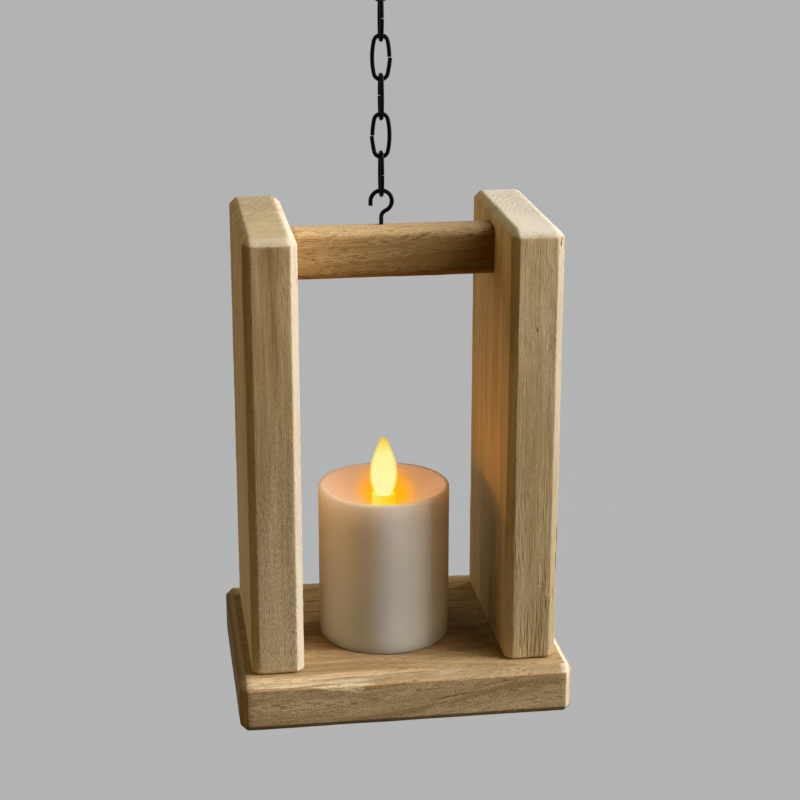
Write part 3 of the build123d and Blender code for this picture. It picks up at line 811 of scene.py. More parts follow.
@dataclass(frozen=True)
class WaxFinish:
    """Smooth ivory wax, with a painted glow near the flame, painted shade on its sides and painted
    bounce light near its foot.
    """

    name: str
    wax: Colour = (0.87, 0.885, 0.87)
    shade: Colour = (0.85, 0.855, 0.83)
    # Painted shade: darkens the wax's right side.
    right_shade: Colour = (0.78, 0.72, 0.64)
    lit_side: Colour = (0.08, 0.032, 0.008)
    dish: Colour = (0.70, 0.69, 0.68)
    lit_dish: Colour = (0.08, 0.0, 0.03)
    halo: Colour = (0.78, 0.36, 0.0)
    # Painted light: the orange that the flame casts on the wax near it.
    flame_glow_tint: Colour = (0.42, 0.18, 0.0)

    def make(self, foot: Vector, height: float) -> Material:
        """Draw the material.

        Args:
            foot: The middle of the candle's foot.
            height: The candle's height.

        Returns:
            The material.
        """
        sketch = MaterialSketch(self.name)
        place = sketch.place.stretch(shift=-foot)
        speckle = sketch.group(fine_speckle(), Vector=place, Size=900.0)
        x, y, z = place.scale(1 / MM).axes()
        top = height / MM
        colour = speckle["Mottle"].remap(0.3, 0.7).mix(self.wax, self.shade)
        # Painted shade on the wax's right side and, a little, at its far left; painted bounce light
        # near its foot.
        colour = x.remap(-2, 18).mix(colour, self.right_shade, "MULTIPLY")
        painted_shading = x.remap(24, 34, 1.0, 0.97) * x.remap(-6, -36, 1.0, 0.9)
        colour = colour.scale(painted_shading * z.remap(0, 40, 1.07, 1.0))
        # Painted light: the wax glows in its emission near the top, in the dish and in a halo round
        # the flame, and takes an orange colour near the flame.
        upper = z.remap(top - 88, top) * x.remap(8, -34, 0.15, 1.0)
        in_dish = x.reach(y).remap(37, 35) * z.remap(top - 20, top - 14.5)
        glow = in_dish.mix(upper.mix(ORIGIN, self.lit_side), self.lit_dish)
        colour = in_dish.mix(colour, self.dish)
        behind = y.math("ABSOLUTE") * 0.75 - 9.0
        near = (x - 3.0).reach(behind).remap(21, 9) * in_dish
        sketch.set(
            Base_Color=near.mix(colour, self.flame_glow_tint),
            Roughness=speckle["Grain"].remap(0.3, 0.7, 0.40, 0.50),
            Specular_IOR_Level=0.12,
            Subsurface_Weight=0.9,
            Subsurface_Radius=(1.0, 0.9, 0.8),
            Subsurface_Scale=0.018,
            Emission_Color=near.mix(glow, self.halo),
            Emission_Strength=1.0,
        )
        sketch.bump(speckle["Mottle"], 0.06 * MM, 0.5)
        return sketch.material


class Stain(Enum):
    """Moulded and plated finishes of the works, as two colours, metallic and roughness."""

    BLACK_PLASTIC = ((0.018, 0.018, 0.019), (0.032, 0.031, 0.030), 0.0, 0.5)
    WHITE_PLASTIC = ((0.74, 0.73, 0.69), (0.82, 0.80, 0.75), 0.0, 0.42)
    ZINC = ((0.56, 0.55, 0.50), (0.68, 0.66, 0.60), 1.0, 0.34)
    NICKEL = ((0.60, 0.58, 0.53), (0.72, 0.70, 0.66), 1.0, 0.25)
    BENT_STEEL = ((0.46, 0.46, 0.46), (0.58, 0.58, 0.57), 1.0, 0.38)
    CHIP = ((0.014, 0.014, 0.016), (0.026, 0.026, 0.028), 0.0, 0.46)
    RED_SLEEVE = ((0.36, 0.014, 0.012), (0.48, 0.026, 0.020), 0.0, 0.4)
    DOWEL = ((0.66, 0.50, 0.32), (0.54, 0.38, 0.22), 0.0, 0.65)

    def make(self) -> Material:
        """Draw the material.

        Returns:
            The material.
        """
        dark, light, metallic, rough = self.value
        sketch = MaterialSketch(self.name.lower())
        speckle = sketch.group(fine_speckle(), Vector=sketch.place, Size=2200.0)
        sketch.set(
            Base_Color=speckle["Mottle"].remap(0.3, 0.7).mix(dark, light),
            Metallic=metallic,
            Roughness=speckle["Grain"].remap(0.25, 0.75, rough - 0.06, rough + 0.08),
        )
        sketch.bump(speckle["Grain"], 0.04 * MM)
        return sketch.material


# Modelling with Blender's own operators


def take(piece: Piece) -> None:
    """Select one piece alone and make it active.

    Args:
        piece: The piece.
    """
    bpy.ops.object.select_all(action="DESELECT")
    piece.select_set(True)
    bpy.context.view_layer.objects.active = piece


@contextmanager
def editing(piece: Piece) -> Iterator[None]:
    """Keep a piece in edit mode for a while.

    Args:
        piece: The piece.

    Returns:
        A context that ends in object mode.
    """
    take(piece)
    bpy.ops.object.mode_set(mode="EDIT")
    yield
    bpy.ops.object.mode_set(mode="OBJECT")


def settle(piece: Piece, name: str) -> Piece:
    """Name a new piece and put its place into its mesh.

    Args:
        piece: The piece.
        name: Its name.

    Returns:
        The piece.
    """
    piece.name = piece.data.name = name
    take(piece)
    bpy.ops.object.transform_apply(location=True, rotation=True, scale=True)
    return piece


def block(name: str, box: Box) -> Piece:
    """Add a block that fills a box."""
    bpy.ops.mesh.primitive_cube_add(size=1, location=box.middle, scale=box.size)
    return settle(bpy.context.active_object, name)


def find_ends(piece: Piece, edge: bpy.types.MeshEdge) -> tuple[Vector, Vector]:
    """Find the places of an edge's two ends."""
    first, second = edge.vertices
    return piece.data.vertices[first].co, piece.data.vertices[second].co


def ease_edges(
    piece: Piece, test: Callable[[Vector, Vector], bool], width: float, segments: int = 1
) -> None:
    """Cut a bevel along chosen edges.

    Args:
        piece: The piece.
        test: Says whether an edge with these two ends is cut.
        width: The bevel's width along each face.
        segments: How many strips it has.
    """
    with editing(piece):
        bpy.ops.mesh.select_mode(type="EDGE")
        bpy.ops.mesh.select_all(action="DESELECT")
    for edge in piece.data.edges:
        edge.select = test(*find_ends(piece, edge))
    with editing(piece):
        bpy.ops.mesh.bevel(
            offset=width, offset_type="OFFSET", segments=segments, profile=0.5, affect="EDGES"
        )


def modify(piece: Piece, kind: str, **settings: object) -> None:
    """Add a modifier and apply it.

    Args:
        piece: The piece.
        kind: The modifier's type.
        **settings: Its properties.
    """
    take(piece)
    made = piece.modifiers.new(kind.lower(), kind)
    for name, value in settings.items():
        setattr(made, name, value)
    bpy.ops.object.modifier_apply(modifier=made.name)


def soften(piece: Piece, width: float, weigh: Callable[[Vector], float]) -> None:
    """Round a piece's creases, some more than others.

    Args:
        piece: The piece.
        width: The widest rounding.
        weigh: Gives the share of that width for a crease whose middle is here.
    """
    layer = "bevel_weight_edge"
    weights = piece.data.attributes.new(layer, "FLOAT", "EDGE")
    for edge in piece.data.edges:
        first, second = find_ends(piece, edge)
        weights.data[edge.index].value = weigh((first + second) / 2)
    modify(piece, "BEVEL", width=width, segments=SOFT_STRIPS, limit_method="WEIGHT")
    piece.data.attributes.remove(piece.data.attributes[layer])


def slice_up(piece: Piece, box: Box, spacing: float) -> None:
    """Cut a piece into an even net of faces.

    Args:
        piece: The piece.
        box: Its box.
        spacing: The distance between cuts.
    """
    with editing(piece):
        for axis in range(3):
            count = max(2, round(box.size[axis] / spacing))
            normal = [float(axis == i) for i in range(3)]
            for cut in range(1, count):
                place = box.low.lerp(box.high, cut / count)
                bpy.ops.mesh.select_all(action="SELECT")
                bpy.ops.mesh.bisect(plane_co=place, plane_no=normal)


def ruffle(piece: Piece, depth: float, size: float) -> None:
    """Sink the surface a little here and there, as hand work leaves it.

    Args:
        piece: The piece.
        depth: The most that the surface sinks.
        size: The size of the swells.
    """
    swell = bpy.data.textures.new(piece.name + "_swell", "CLOUDS")
    swell.noise_scale = size
    swell.noise_depth = SWELL_LAYERS
    modify(
        piece, "DISPLACE", texture=swell, texture_coords="LOCAL", direction="NORMAL",
        strength=depth, mid_level=1.0,
    )


def rod(
    place: Vector, way: Vector, radius: float, length: float, tip: float | None = None
) -> Piece:
    """Add a round cutter, straight or tapered.

    Args:
        place: The middle of its foot.
        way: The way that it points.
        radius: Its radius at the foot.
        length: Its length.
        tip: Its radius at the far end, where it differs.

    Returns:
        The cutter.
    """
    bpy.ops.mesh.primitive_cone_add(
        vertices=CUTTER_SIDES, radius1=radius, radius2=radius if tip is None else tip, depth=length,
        location=place + way * length / 2, rotation=way.to_track_quat("Z", "Y").to_euler(),
    )
    return settle(bpy.context.active_object, "cutter")


def carve(piece: Piece, cutters: Sequence[Piece]) -> None:
    """Cut shapes out of a piece, which uses them up.

    Args:
        piece: The piece.
        cutters: The shapes.
    """
    for cutter in cutters:
        modify(piece, "BOOLEAN", operation="DIFFERENCE", solver="EXACT", object=cutter)
        bpy.data.objects.remove(cutter)


def arc(middle: Ring, radius: float, start: float, end: float, steps: int) -> list[Ring]:
    """Work out rings along an arc of a round piece's outline.

    Args:
        middle: The arc's middle, as a radius and a height.
        radius: The arc's own radius.
        start: The angle that it starts at.
        end: The angle that it ends at.
        steps: How many steps it takes.

    Returns:
        The rings, both ends included.
    """
    angles = [start + (end - start) * step / steps for step in range(steps + 1)]
    return [
        (middle[0] + radius * math.cos(angle), middle[1] + radius * math.sin(angle))
        for angle in angles
    ]


def turn_round(name: str, foot: Vector, rings: Sequence[Ring], sides: int) -> Piece:
    """Turn a round piece: a circle that is extruded ring by ring.

    Args:
        name: Its name.
        foot: The middle of the ring at height 0.
        rings: Radii and heights along the piece's outline.
        sides: How many sides it has.

    Returns:
        The piece.
    """
    radius, height = rings[0]
    bpy.ops.mesh.primitive_circle_add(vertices=sides, radius=radius, location=foot + UP * height)
    piece = bpy.context.active_object
    with editing(piece):
        bpy.ops.mesh.select_all(action="SELECT")
        for next_radius, next_height in rings[1:]:
            next_radius = max(next_radius, POINT)
            rise, grow = (0, 0, next_height - height), next_radius / radius
            bpy.ops.mesh.extrude_region_move(TRANSFORM_OT_translate={"value": rise})
            bpy.ops.transform.resize(
                value=(grow, grow, 1), center_override=foot + UP * next_height
            )
            radius, height = next_radius, next_height
        bpy.ops.mesh.select_all(action="SELECT")
        bpy.ops.mesh.remove_doubles(threshold=MERGE)
        bpy.ops.mesh.normals_make_consistent(inside=False)
    return settle(piece, name)


def dress(piece: Piece, finish: Material, slot: str, body: str, *nodes: str) -> None:
    """Finish a piece: its shading, material, body and the nodes that it stands for.

    Args:
        piece: The piece.
        finish: Its material.
        slot: A material slot's name; not used.
        body: The body that it rides on.
        *nodes: The CAD nodes that it replaces.
    """
    take(piece)
    bpy.ops.object.shade_smooth_by_angle(angle=SMOOTH_ANGLE)
    piece.data.materials.clear()
    piece.data.materials.append(finish)
    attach(piece, body)
    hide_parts(*nodes)
    LOG.info("%s: %d faces, on %s", piece.name, len(piece.data.polygons), body)


def coat_nodes(finish: Material, *names: str) -> None:
    """Give CAD nodes that keep their shape a finish.

    Args:
        finish: The material.
        *names: The nodes.
    """
    for name in names:
        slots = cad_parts[name].data.materials
        slots.clear()
        slots.append(finish)
        LOG.info("%s: CAD node, %s", name, finish.name)


# Sub-assemblies


CRACK_TIP = 0.4
CRACKS = (
    ((12.5, -58.4, 120.4), (12.7, -58.2, 115.4), 0.45 * MM),
    ((14.7, -55.9, -44.0), (14.5, -56.2, -58.0), 0.50 * MM),
    ((14.5, -56.2, -57.0), (14.2, -56.6, -78.0), 0.42 * MM),
    ((13.2, -57.6, -80.0), (12.2, -58.6, -93.0), 0.36 * MM),
)


@dataclass
class Boards:
    """The base board, the uprights and the crossbar, sanded by hand."""

    chamfer: float = 4.2 * MM
    top_soft: float = 2.2 * MM
    net: float = 3.4 * MM
    swells: tuple[Ring, ...] = ((0.35 * MM, 28 * MM), (0.16 * MM, 7 * MM))
    base_soft: float = 0.32
    side_soft: float = 0.34
    foot_soft: float = 0.85
    end_soft: float = 0.95
    left_end_soft: float = 0.45
    crossbar_round: float = 5.0 * MM
    crossbar_strips: int = 8
    long_edge: float = 50 * MM
    dowel_radius: float = 4.05 * MM
    dowel_depth: float = 16.0 * MM
    dowel_spacing: float = 13.0 * MM
    screw_radius: float = 2.1 * MM
    screw_spread: float = 144.0 * MM
    screw_spacing: float = 70.0 * MM
    screw_sink: float = 0.6 * MM
    screw_head: float = 4.1 * MM
    screw_cone: float = 2.0 * MM
    screw_reach: float = 21.6 * MM
    hook_radius: float = 1.25 * MM
    hook_depth: float = 20.0 * MM
    over: float = 1.0 * MM
    overlap: float = 0.01 * MM

    def build(self) -> None:
        """Model and dress every board."""
        self.base()
        for side in Side:
            self.upright(side)
        self.crossbar()

    def sand(self, piece: Piece, box: Box) -> None:
        """Leave a board a little uneven, as sanding by hand does.

        Args:
            piece: The board.
            box: Its box.
        """
        slice_up(piece, box, self.net)
        for depth, size in self.swells:
            ruffle(piece, depth, size)

    @staticmethod
    def dress(piece: Piece, box: Box, node: str) -> None:
        """Give a board its wood and let it stand for its node."""
        dress(piece, WOODS[node].make(box), "pale_wood", "lantern", node)

    def base(self) -> None:
        """Model the base board, with countersunk holes from beneath."""
        box = Box(*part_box("base_board"))
        piece = block("base_plank", box)
        ease_edges(piece, lambda a, b: True, self.chamfer)
        soften(piece, self.top_soft, lambda place: self.base_soft)
        self.sand(piece, box)
        cutters = []
        for x in (-self.screw_spread / 2, self.screw_spread / 2):
            for y in (-self.screw_spacing / 2, self.screw_spacing / 2):
                foot = Vector((box.middle.x + x, box.middle.y + y, box.low.z))
                seat = foot + UP * (self.screw_sink - self.overlap)
                foot.z -= self.over
                cutters += [
                    rod(foot, UP, self.screw_head, self.screw_sink + self.over),
                    rod(seat, UP, self.screw_head, self.screw_cone, self.screw_radius),
                    rod(seat, UP, self.screw_radius, box.size.z),
                ]
        carve(piece, cutters)
        self.dress(piece, box, "base_board")

    def upright(self, side: Side) -> None:
        """Model one upright.

        Args:
            side: Which of the two.
        """
        name = side.name.lower()
        box = Box(*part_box(name + "_upright"))
        middle = box.middle
        piece = block(name + "_post", box)

        def on_foot(place: Vector) -> bool:
            """Say whether a place is on the upright's foot."""
            return place.z < box.low.z + 1 * MM

        def crease(place: Vector) -> float:
            """Give a crease its share of the widest rounding.

            Args:
                place: The crease's middle.

            Returns:
                The share.
            """
            if place.z > box.high.z - 0.7 * self.chamfer:
                at_left = place.x < middle.x - 5 * MM
                return self.left_end_soft if at_left else self.end_soft
            return self.foot_soft if on_foot(place) else self.side_soft

        ease_edges(piece, lambda a, b: not (on_foot(a) and on_foot(b)), self.chamfer)
        soften(piece, self.top_soft, crease)
        self.sand(piece, box)
        bar = Box(*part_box("crossbar")).middle
        outwards = Vector((side.value, 0, 0))
        inner = middle.x - side.value * (box.size.x / 2 + self.over)
        cutters = []
        for step in (-0.5, 0.5):
            peg = Vector((inner, bar.y, bar.z + step * self.dowel_spacing))
            cutters.append(rod(peg, outwards, self.dowel_radius, self.dowel_depth + self.over))
            screw = Vector((middle.x, middle.y + step * self.screw_spacing, box.low.z - self.over))
            cutters.append(rod(screw, UP, self.screw_radius, self.screw_reach + self.over))
        if side is Side.RIGHT:
            cutters += self.cracks(middle)
        carve(piece, cutters)
        self.dress(piece, box, name + "_upright")

    @staticmethod
    def cracks(middle: Vector) -> list[Piece]:
        """Make slim cutters for the nick and the drying crack in the right upright's front edge.

        Args:
            middle: The upright's middle.

        Returns:
            The cutters.
        """
        cutters = []
        for start, end, radius in CRACKS:
            first, last = Vector(start) * MM, Vector(end) * MM
            way, tip = last - first, radius * CRACK_TIP
            cutters.append(rod(middle + first, way.normalized(), radius, way.length, tip))
        return cutters

    def crossbar(self) -> None:
        """Model the crossbar with its long edges rounded."""
        box = Box(*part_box("crossbar"))
        middle = box.middle
        piece = block("cross_rail", box)
        ease_edges(
            piece, lambda a, b: abs(a.x - b.x) > self.long_edge, self.crossbar_round,
            self.crossbar_strips,
        )
        self.sand(piece, box)
        top = UP * (box.high.z + self.over)
        cutters = [rod(top, -UP, self.hook_radius, self.hook_depth + self.over)]
        for end in Side:
            inwards = Vector((-end.value, 0, 0))
            edge = middle.x + end.value * (box.size.x / 2 + self.over)
            for step in (-0.5, 0.5):
                peg = Vector((edge, middle.y, middle.z + step * self.dowel_spacing))
                cutters.append(rod(peg, inwards, self.dowel_radius, self.dowel_depth + self.over))
        carve(piece, cutters)
        self.dress(piece, box, "crossbar")


@dataclass
class Candle:
    """The battery candle: its wax shell, its flame and the ring that holds it."""

    radius: float = 38.0 * MM
    height: float = 91.0 * MM
    lip: float = 1.6 * MM
    lip_turn: float = math.radians(132)
    foot_round: float = 0.8 * MM
    dish_depth: float = 14.0 * MM
    wall: float = 5.0 * MM
    seat: float = 34.0 * MM
    plate_top: float = 4.5 * MM
    floor_thickness: float = 3.0 * MM
    socket_hole: float = 6.8 * MM
    socket_radius: float = 6.7 * MM
    socket_height: float = 8.0 * MM
    socket_wall: float = 1.5 * MM
    socket_flange: float = 2.5 * MM
    socket_round: float = 0.4 * MM
    flame_height: float = 34.0 * MM
    flame_radius: float = 7.9 * MM
    belly_height: float = 11.9 * MM
    tip_radius: float = 2.5 * MM
    taper: float = math.radians(20.5)
    neck_radius: float = 5.1 * MM
    neck_length: float = 6.0 * MM
    flame_wall: float = 1.2 * MM
    foot_bulge: float = 0.25 * MM
    socket_bulge: float = 0.12 * MM
    shell_sides: int = 128
    flame_sides: int = 64
    lip_steps: int = 10
    wall_steps: int = 12
    dish_steps: int = 24
    tip_steps: int = 8
    foot: Vector = field(init=False)
    dish_floor: float = field(init=False)
    under: float = field(init=False)
    ring_top: float = field(init=False)

    def __post_init__(self) -> None:
        """Find the candle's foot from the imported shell, and work out heights above it."""
        box = Box(*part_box("candle_shell"))
        self.foot = Vector((box.middle.x, box.middle.y, box.low.z))
        self.dish_floor = self.height - self.dish_depth
        self.under = self.dish_floor - self.floor_thickness
        self.ring_top = self.dish_floor + self.socket_height

    def build(self) -> None:
        """Model and dress the candle's visible pieces."""
        self.shell()
        self.flame()
        self.socket()

    def shell(self) -> None:
        """Model the wax shell with its rounded lip and dished top."""
        radius, corner, under = self.radius, self.foot_round, self.under
        bulge, shoulder = self.foot_bulge, self.height - self.lip
        lip = arc((radius - self.lip, shoulder), self.lip, 0.0, self.lip_turn, self.lip_steps)[1:]
        edge, bowl = lip[-1][0], lip[-1][1] - self.dish_floor
        sphere = (edge**2 + bowl**2) / (2 * bowl)
        inside = radius - self.wall
        rings = [(radius - corner, 0.0), (radius - bulge, bulge), (radius, corner)]
        for step in range(1, self.wall_steps + 1):
            rings.append((radius, corner + step / self.wall_steps * (shoulder - corner)))
        rings += lip
        for step in range(1, self.dish_steps + 1):
            away = edge + (self.socket_hole - edge) * step / self.dish_steps
            rings.append((away, self.dish_floor + sphere - math.sqrt(sphere**2 - away**2)))
        rings += [
            (self.socket_hole, under), (inside, under), (inside, self.plate_top),
            (self.seat, self.plate_top), (self.seat, 0.0), (radius - corner, 0.0),
        ]
        piece = turn_round("wax_shell", self.foot, rings, self.shell_sides)
        finish = WaxFinish("ivory_wax").make(self.foot, self.height)
        dress(piece, finish, "candle_wax", "candle", "candle_shell")

    def flame_side(self, inset: float) -> list[Ring]:
        """Work out one side of the flame's wall, from the neck's foot up to the tip.

        Args:
            inset: How far the side lies inside the outer one.

        Returns:
            Radii and heights above the candle's foot.
        """
        wide, taper = self.flame_radius, self.taper
        tip = self.ring_top + self.flame_height - self.tip_radius
        belly = self.ring_top + self.belly_height
        apex = tip + self.tip_radius / math.sin(taper)
        sweep = ((apex - belly) * math.tan(taper) - wide) / (1 / math.cos(taper) - 1)
        tuck = wide - self.neck_radius
        foot = (tuck**2 + self.belly_height**2) / (2 * tuck)
        foot_turn = math.asin(self.belly_height / foot)
        return [
            (self.neck_radius - inset, self.ring_top - self.neck_length),
            *arc((wide - inset - foot, belly), foot, -foot_turn, 0.0, self.wall_steps),
            *arc((wide - sweep, belly), sweep - inset, 0.0, taper, self.wall_steps)[1:],
            *arc((0.0, tip), self.tip_radius - inset, taper, math.pi / 2, self.tip_steps),
        ]

    def flame(self) -> None:
        """Model the hollow flame, whose inner wall glows through the outer one."""
        outer, inner = self.flame_side(0.0), self.flame_side(self.flame_wall)
        rings = outer + inner[::-1] + outer[:1]
        piece = turn_round("flame_bulb", self.foot, rings, self.flame_sides)
        skin = self.flame_finish(
            "flame_skin", 0.5,
            (0.0, (1.0, 0.88, 0.22)), (0.2, (1.0, 0.88, 0.17)), (0.75, (1.0, 0.82, 0.09)),
            (0.93, (0.90, 0.62, 0.01)), (1.0, (0.80, 0.48, 0.0)),
        )
        core = self.flame_finish(
            "flame_core", 1.0,
            (0.0, (1.0, 0.97, 0.50)), (0.25, (1.0, 0.98, 0.66)), (0.7, (1.0, 0.97, 0.58)),
            (0.88, (1.0, 0.88, 0.24)), (1.0, (0.95, 0.70, 0.04)),
        )
        dress(piece, skin, "flame", "candle", "flame_lens")
        piece.data.materials.append(core)
        belly = self.foot + UP * (self.ring_top + self.belly_height)
        for face in piece.data.polygons:
            face.material_index = int(face.normal.dot(face.center - belly) < 0)
        piece.visible_shadow = False

    def flame_finish(self, name: str, alpha: float, *stops: tuple[float, Colour]) -> Material:
        """Draw a lit, milky wall whose colour changes with height.

        Args:
            name: The material's name.
            alpha: How much of the wall shows.
            *stops: Shares of the flame's height, each with its colour.

        Returns:
            The material.
        """
        sketch = MaterialSketch(name)
        rise = sketch.place.stretch(shift=-self.foot).axes()[2] - self.ring_top
        rise = rise.math("DIVIDE", self.flame_height, clamp=True)
        ramp = sketch.node("ValToRGB", {0: rise})
        points = ramp.color_ramp.elements
        while len(points) < len(stops):
            points.new(0.5)
        for point, (place, colour) in zip(points, stops):
            point.position, point.color = place, (*colour, 1.0)
        sketch.set(
            Base_Color=(0.02, 0.015, 0.005), Roughness=0.4, Specular_IOR_Level=0.1, Alpha=alpha,
            Emission_Color=Wire(sketch, ramp.outputs[0]), Emission_Strength=1.0,
        )
        return sketch.material

    def socket(self) -> None:
        """Model the ring that the flame stands in, with its flange under the dish."""
        radius, top, under = self.socket_radius, self.ring_top, self.under
        bore, foot = radius - self.socket_wall, under - self.socket_wall
        rim, soft = radius + self.socket_flange, self.socket_round
        bulge = self.socket_bulge
        rings = [
            (bore, foot), (rim, foot), (rim, under), (radius, under), (radius, top - soft),
            (radius - bulge, top - bulge), (radius - soft, top), (bore, top), (bore, foot),
        ]
        piece = turn_round("flame_ring", self.foot, rings, self.flame_sides)
        sketch = MaterialSketch("lit_ring")
        place = sketch.place.stretch(shift=-self.foot)
        speckle = sketch.group(fine_speckle(), Vector=place, Size=700.0)
        side = place.axes()[0].remap(-radius, radius)
        side = side.math("ADD", speckle["Mottle"] - 0.5, clamp=True)
        sketch.set(
            Base_Color=(0.05, 0.03, 0.01), Roughness=0.4, Emission_Strength=1.0,
            Emission_Color=side.mix((0.96, 0.74, 0.085), (0.93, 0.60, 0.008)),
        )
        dress(piece, sketch.material, "socket", "candle", "flame_socket")
        piece.visible_shadow = False


@dataclass
class Metalwork:
    """The hooks and the chain."""

    links: int = 7

    def build(self) -> None:
        """Coat the hooks and the links."""
        names = [f"chain_link_{number + 1}" for number in range(self.links)]
        coat = CoatFinish("black_coat").make()
        coat_nodes(coat, "ceiling_hook", "screw_hook", *names)


class Works:
    """The candle's inner works and the lantern's hidden fixings."""

    def build(self) -> None:
        """Give each piece of the works its finish."""
        plan = {
            Stain.BLACK_PLASTIC: ("candle_base", "battery_door", "battery_tray", "switch_knob"),
            Stain.WHITE_PLASTIC: ("led_post",),
            Stain.ZINC: ("base_screws", "tray_screws"),
            Stain.NICKEL: ("bridge_contact", "plus_contact", "minus_contact", "led_leads"),
            Stain.BENT_STEEL: ("switch_body",),
            Stain.CHIP: ("control_chip", "battery_cells", "circuit_board", "led"),
            Stain.RED_SLEEVE: ("switch_wires",),
            Stain.DOWEL: ("crossbar_dowels",),
        }
        for stain, names in plan.items():
            coat_nodes(stain.make(), *names)


@dataclass(frozen=True)
class Lamp:
    """One soft lamp round the lantern: its bearings in degrees, its size and its light."""

    name: str
    bearing: float
    height: float
    size: tuple[float, float]
    light: Colour


LAMPS = (
    Lamp("window", 22.0, 25.0, (0.6, 1.2), (0.81, 0.82, 0.80)),
    Lamp("window_side", 8.0, 25.0, (0.6, 1.2), (0.37, 0.44, 0.56)),
    Lamp("window_behind", -35.0, 22.0, (0.9, 1.2), (0.42, 0.39, 0.30)),
    Lamp("window_front", 52.0, 25.0, (0.7, 1.2), (0.105, 0.082, 0.050)),
    Lamp("skylight", 20.0, 55.0, (0.9, 0.9), (0.31, 0.27, 0.24)),
    Lamp("room_left", 180.0, 8.0, (1.2, 0.9), (0.16, 0.118, 0.036)),
    Lamp("wall_bounce", 222.0, 20.0, (1.2, 1.2), (0.145, 0.137, 0.105)),
)


def hang(data: bpy.types.ID, place: Sequence[float]) -> Piece:
    """Put a lamp or a camera into the scene.

    Args:
        data: The lamp or the camera.
        place: Where it hangs.

    Returns:
        Its object.
    """
    holder = bpy.data.objects.new(data.name, data)
    bpy.context.scene.collection.objects.link(holder)
    holder.location = place
    return holder


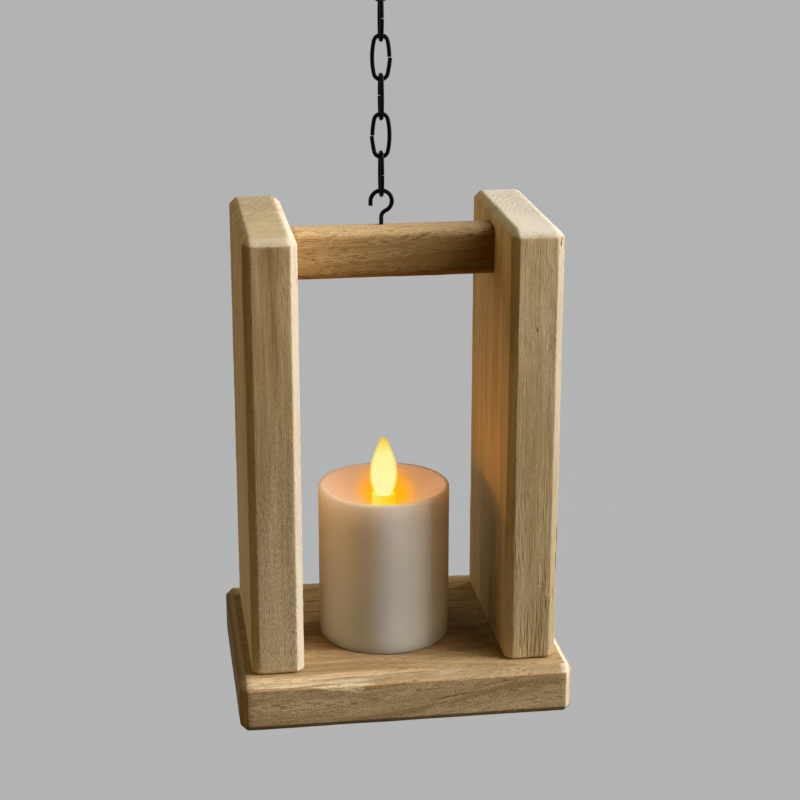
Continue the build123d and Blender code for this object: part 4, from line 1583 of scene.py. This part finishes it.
@dataclass
class Studio:
    """The floor, the light and the camera."""

    floor_z: float = -0.80
    floor_size: float = 30.0
    pale: Colour = (0.50, 0.505, 0.51)
    bounce: Colour = (0.09, 0.07, 0.045)
    air: Colour = (0.012, 0.014, 0.004)
    lamp_reach: float = 1.8
    middle: Triple = (0.0046, -0.005, -0.32)
    flame_power: float = 0.031
    flame_colour: Colour = (1.0, 0.40, 0.06)
    flame_size: float = 5 * MM
    flame_rise: float = 18 * MM
    camera_place: Triple = (-0.13726, -1.03199, 0.03992)
    pitch_down: float = math.radians(17.514)
    yaw_right: float = math.radians(8.155)
    lens: float = 85.158
    sensor: float = 36.0
    nearest: float = 0.01
    paint_shade: float = 0.97
    floor_glow: float = 0.9

    def build(self) -> None:
        """Set up the floor, the lamps, the world and the camera."""
        self.floor()
        for lamp in LAMPS:
            self.panel(lamp)
        self.flame_light()
        self.world()
        self.camera()
        bpy.context.scene.view_settings.view_transform = "Standard"

    @staticmethod
    def seen_directly(sketch: Sketch) -> Wire:
        """Tell the rays that come from the camera, from gloss or through glass.

        Args:
            sketch: The node tree that needs to know.

        Returns:
            1 for those rays, otherwise 0.
        """
        path = sketch.node("LightPath").outputs
        kinds = ("Is Camera Ray", "Is Glossy Ray", "Is Transmission Ray")
        camera, gloss, glass = (Wire(sketch, path[kind]) for kind in kinds)
        return camera.most(gloss).most(glass)

    def floor(self) -> None:
        """Lay a wide pale floor well below the lantern, clear from beneath."""
        bpy.ops.mesh.primitive_plane_add(size=self.floor_size, location=(0, 0, self.floor_z))
        ground = settle(bpy.context.active_object, "studio_floor")
        sketch = MaterialSketch("floor_paint")
        shade = tuple(self.paint_shade * part for part in self.pale)
        paint = sketch.place.noise(0.8).mix(self.pale, shade)
        sketch.set(Base_Color=self.bounce, Roughness=0.9, Specular_IOR_Level=0.1)
        seen = self.seen_directly(sketch) * self.floor_glow
        glow = sketch.wire("Emission", {"Color": paint})
        blend = sketch.wire("MixShader", {0: seen, 1: sketch.skin, 2: glow})
        beneath = sketch.wire("NewGeometry", output="Backfacing")
        clear = sketch.wire("BsdfTransparent")
        surface = sketch.wire("MixShader", {0: beneath, 1: blend, 2: clear})
        sketch.feed(sketch.output.inputs["Surface"], surface)
        ground.data.materials.append(sketch.material)

    def panel(self, lamp: Lamp) -> None:
        """Hang one soft lamp that points at the lantern's middle.

        Args:
            lamp: Its bearings, size and light.
        """
        made = bpy.data.lights.new(lamp.name, "AREA")
        made.shape = "RECTANGLE"
        made.size, made.size_y = lamp.size
        made.energy = max(lamp.light) * (math.pi * self.lamp_reach) ** 2
        made.color = [part / max(lamp.light) for part in lamp.light]
        bearing, height = math.radians(lamp.bearing), math.radians(lamp.height)
        level = math.cos(height)
        way = Vector((math.cos(bearing) * level, -math.sin(bearing) * level, math.sin(height)))
        holder = hang(made, Vector(self.middle) + way * self.lamp_reach)
        holder.rotation_euler = (-way).to_track_quat("-Z", "Y").to_euler()

    def flame_light(self) -> None:
        """Put a small warm lamp into the flame, which rides with the candle."""
        glow = bpy.data.lights.new("flame_light", "POINT")
        glow.energy, glow.color = self.flame_power, self.flame_colour
        glow.shadow_soft_size = self.flame_size
        box = Box(*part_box("flame_lens"))
        holder = hang(glow, (box.middle.x, box.middle.y, box.low.z + self.flame_rise))
        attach(holder, "candle")

    def world(self) -> None:
        """Fill the shadows softly, with a pale background for what is seen directly."""
        world = bpy.data.worlds.new("studio_air")
        world.use_nodes = True
        world.node_tree.nodes.clear()
        bpy.context.scene.world = world
        sketch = Sketch(world.node_tree)
        colour = self.seen_directly(sketch).mix(self.air, self.pale)
        sketch.node("OutputWorld", {"Surface": sketch.wire("Background", {"Color": colour})})

    def camera(self) -> None:
        """Place the camera at the photograph's viewpoint."""
        lens = bpy.data.cameras.new("view")
        lens.lens = self.lens
        lens.sensor_width = self.sensor
        lens.sensor_fit = "HORIZONTAL"
        lens.clip_start = self.nearest
        eye = hang(lens, self.camera_place)
        eye.rotation_euler = (math.pi / 2 - self.pitch_down, 0.0, -self.yaw_right)
        bpy.context.scene.camera = eye


def main() -> None:
    """Build the lantern in order."""
    logging.basicConfig(level=logging.INFO, format="%(name)s: %(message)s")
    for part in (Boards(), Candle(), Metalwork(), Works(), Studio()):
        part.build()


if __name__ == "__main__":
    main()
